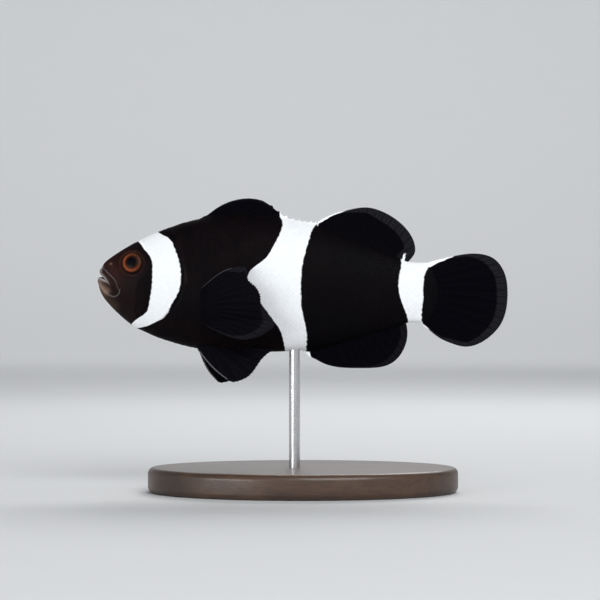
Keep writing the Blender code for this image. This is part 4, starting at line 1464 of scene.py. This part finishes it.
def makeEyes():
    # each ball is turned to look outwards, a little up and forward, and stands proud of the head
    material = eyeMaterial()
    local, quads, fans = makeBall()
    up, forward = (math.radians(degrees) for degrees in eyeball["turn"])
    look = unit(np.array([-math.sin(forward), -math.cos(forward) * math.cos(up), math.sin(up)]))
    across = unit(np.cross((0, 0, 1), look))
    out = halfWidthAt(*head["eyeAt"]) + eyeball["proud"] - eyeball["depth"]
    behind, above = np.array(head["eyeAt"]) + eyeball["offCentre"]
    points = local @ np.stack([across, np.cross(look, across), look]) + (behind, -out, above)
    fromPupil = np.where(local[:, 2] < 0, eyeball["radius"], np.hypot(local[:, 0], local[:, 1]))
    for side, word in leftAndRight:
        name = "eye_" + word + "_ball"
        mesh = sideMesh(name, side, points, quads, fans)
        addNumbers(mesh, fromPupil=fromPupil, roundPupil=np.arctan2(local[:, 1], local[:, 0]))
        addPiece(name, mesh, material, ("eye_" + word,))
    print("eyes ready")


makeEyes()


base = {
    "size": (62.0, 42.0, 5.0),
    "edge": 1.2,              # radius of its rounded edges, and how many steps they have
    "edgeSteps": 9,
    "columns": 192,
    "grain": [(0.30, (0.020, 0.010, 0.006)), (0.48, (0.050, 0.025, 0.014)), (0.62, (0.085, 0.044, 0.024)),
              (0.75, (0.040, 0.020, 0.011))],
    "grainStretch": (18.0, 190.0, 190.0),
    "pores": (0.018, 0.009, 0.006),
    "poreStretch": (260.0, 2600.0, 2600.0),
    "poreWeight": 0.45,
    "poreStrength": 0.3,
    "poreDepth": 0.0001,      # in metres
    "roughness": 0.42,
    "coat": 0.15,
}
rod = {
    "behind": 39.2,           # the lip's tip
    "radius": 1.1,
    "low": 2.2,               # its ends, inside the base and inside the belly
    "high": 33.4,
    "rows": 12,
    "columns": 48,
    "steel": [(0.35, (0.50, 0.50, 0.51)), (0.65, (0.66, 0.66, 0.67))],
    "brushing": (900.0, 900.0, 9000.0),
    "brushStrength": 0.2,
    "brushDepth": 0.00003,    # in metres
    "roughness": 0.27,
}


def woodMaterial():
    # grain and pores are noises drawn out along the base
    material, tree, shader = newMaterial("oiledWood", base["roughness"], 0.5)
    coordinates = objectOut(tree)
    grain = noiseOut(tree, stretchedOut(tree, coordinates, base["grainStretch"]), 1.0, 6.0, 0.6, 0.6)
    pores = noiseOut(tree, stretchedOut(tree, coordinates, base["poreStretch"]), 1.0, 3.0)
    colour = rampOut(tree, grain, base["grain"])
    colour = mixColours(tree, mathOut(tree, "MULTIPLY", pores, base["poreWeight"]), colour, base["pores"])
    tree.links.new(colour, shader.inputs["Base Color"])
    shader.inputs["Coat Weight"].default_value = base["coat"]
    addBump(tree, shader, pores, base["poreStrength"], base["poreDepth"])
    return material


def steelMaterial():
    # brushed round the rod, so the noise is squeezed along it
    material, tree, shader = newMaterial("brushedSteel", rod["roughness"], 0.5)
    shader.inputs["Metallic"].default_value = 1.0
    brush = noiseOut(tree, stretchedOut(tree, objectOut(tree), rod["brushing"]), 1.0, 2.0)
    tree.links.new(rampOut(tree, brush, rod["steel"]), shader.inputs["Base Color"])
    addBump(tree, shader, brush, rod["brushStrength"], rod["brushDepth"])
    return material


def turnedMesh(name, line, oval, behind, columns):
    # a profile (radius, height) carried round an oval, closed by a point at each end
    line = np.asarray(line, float)
    turn = np.arange(columns) * 2 * math.pi / columns
    inset = (line[:, 0].max() - line[:, 0])[:, None]
    height = np.broadcast_to(line[:, 1:], (len(line), columns))
    rings = np.stack([np.cos(turn) * (oval[0] - inset), np.sin(turn) * (oval[1] - inset), height], axis=-1)
    points, quads, fans = closedRings(rings, (0, 0, line[-1, 1]), (0, 0, line[0, 1]))
    mesh = makeMesh(name, (points + (behind, 0, 0)) * mm, quads, fans)
    mesh.set_sharp_from_angle(angle=math.radians(50))
    return mesh


def makeStand():
    # the base's profile is a rounded edge below and one above; the rod is a straight round bar
    length, depth, height = base["size"]
    edge = base["edge"]
    corner = np.linspace(0, math.pi / 2, base["edgeSteps"])
    inner = length / 2 - edge
    low = np.stack([inner + edge * np.sin(corner), edge - edge * np.cos(corner)], axis=1)
    high = np.stack([inner + edge * np.cos(corner), height - edge + edge * np.sin(corner)], axis=1)
    mesh = turnedMesh("base", np.concatenate([low, high]), (length / 2, depth / 2), 0, base["columns"])
    addPiece("base", mesh, woodMaterial(), ("stand_base",))
    radius = rod["radius"]
    heights = [rod["low"], *np.linspace(rod["low"] + 0.1, rod["high"] - 0.1, rod["rows"]), rod["high"]]
    line = [(radius, z) for z in heights]
    mesh = turnedMesh("rod", line, (radius, radius), rod["behind"] + fishAt[0], rod["columns"])
    addPiece("rod", mesh, steelMaterial(), ("stand_rod",))
    print("stand ready")


makeStand()
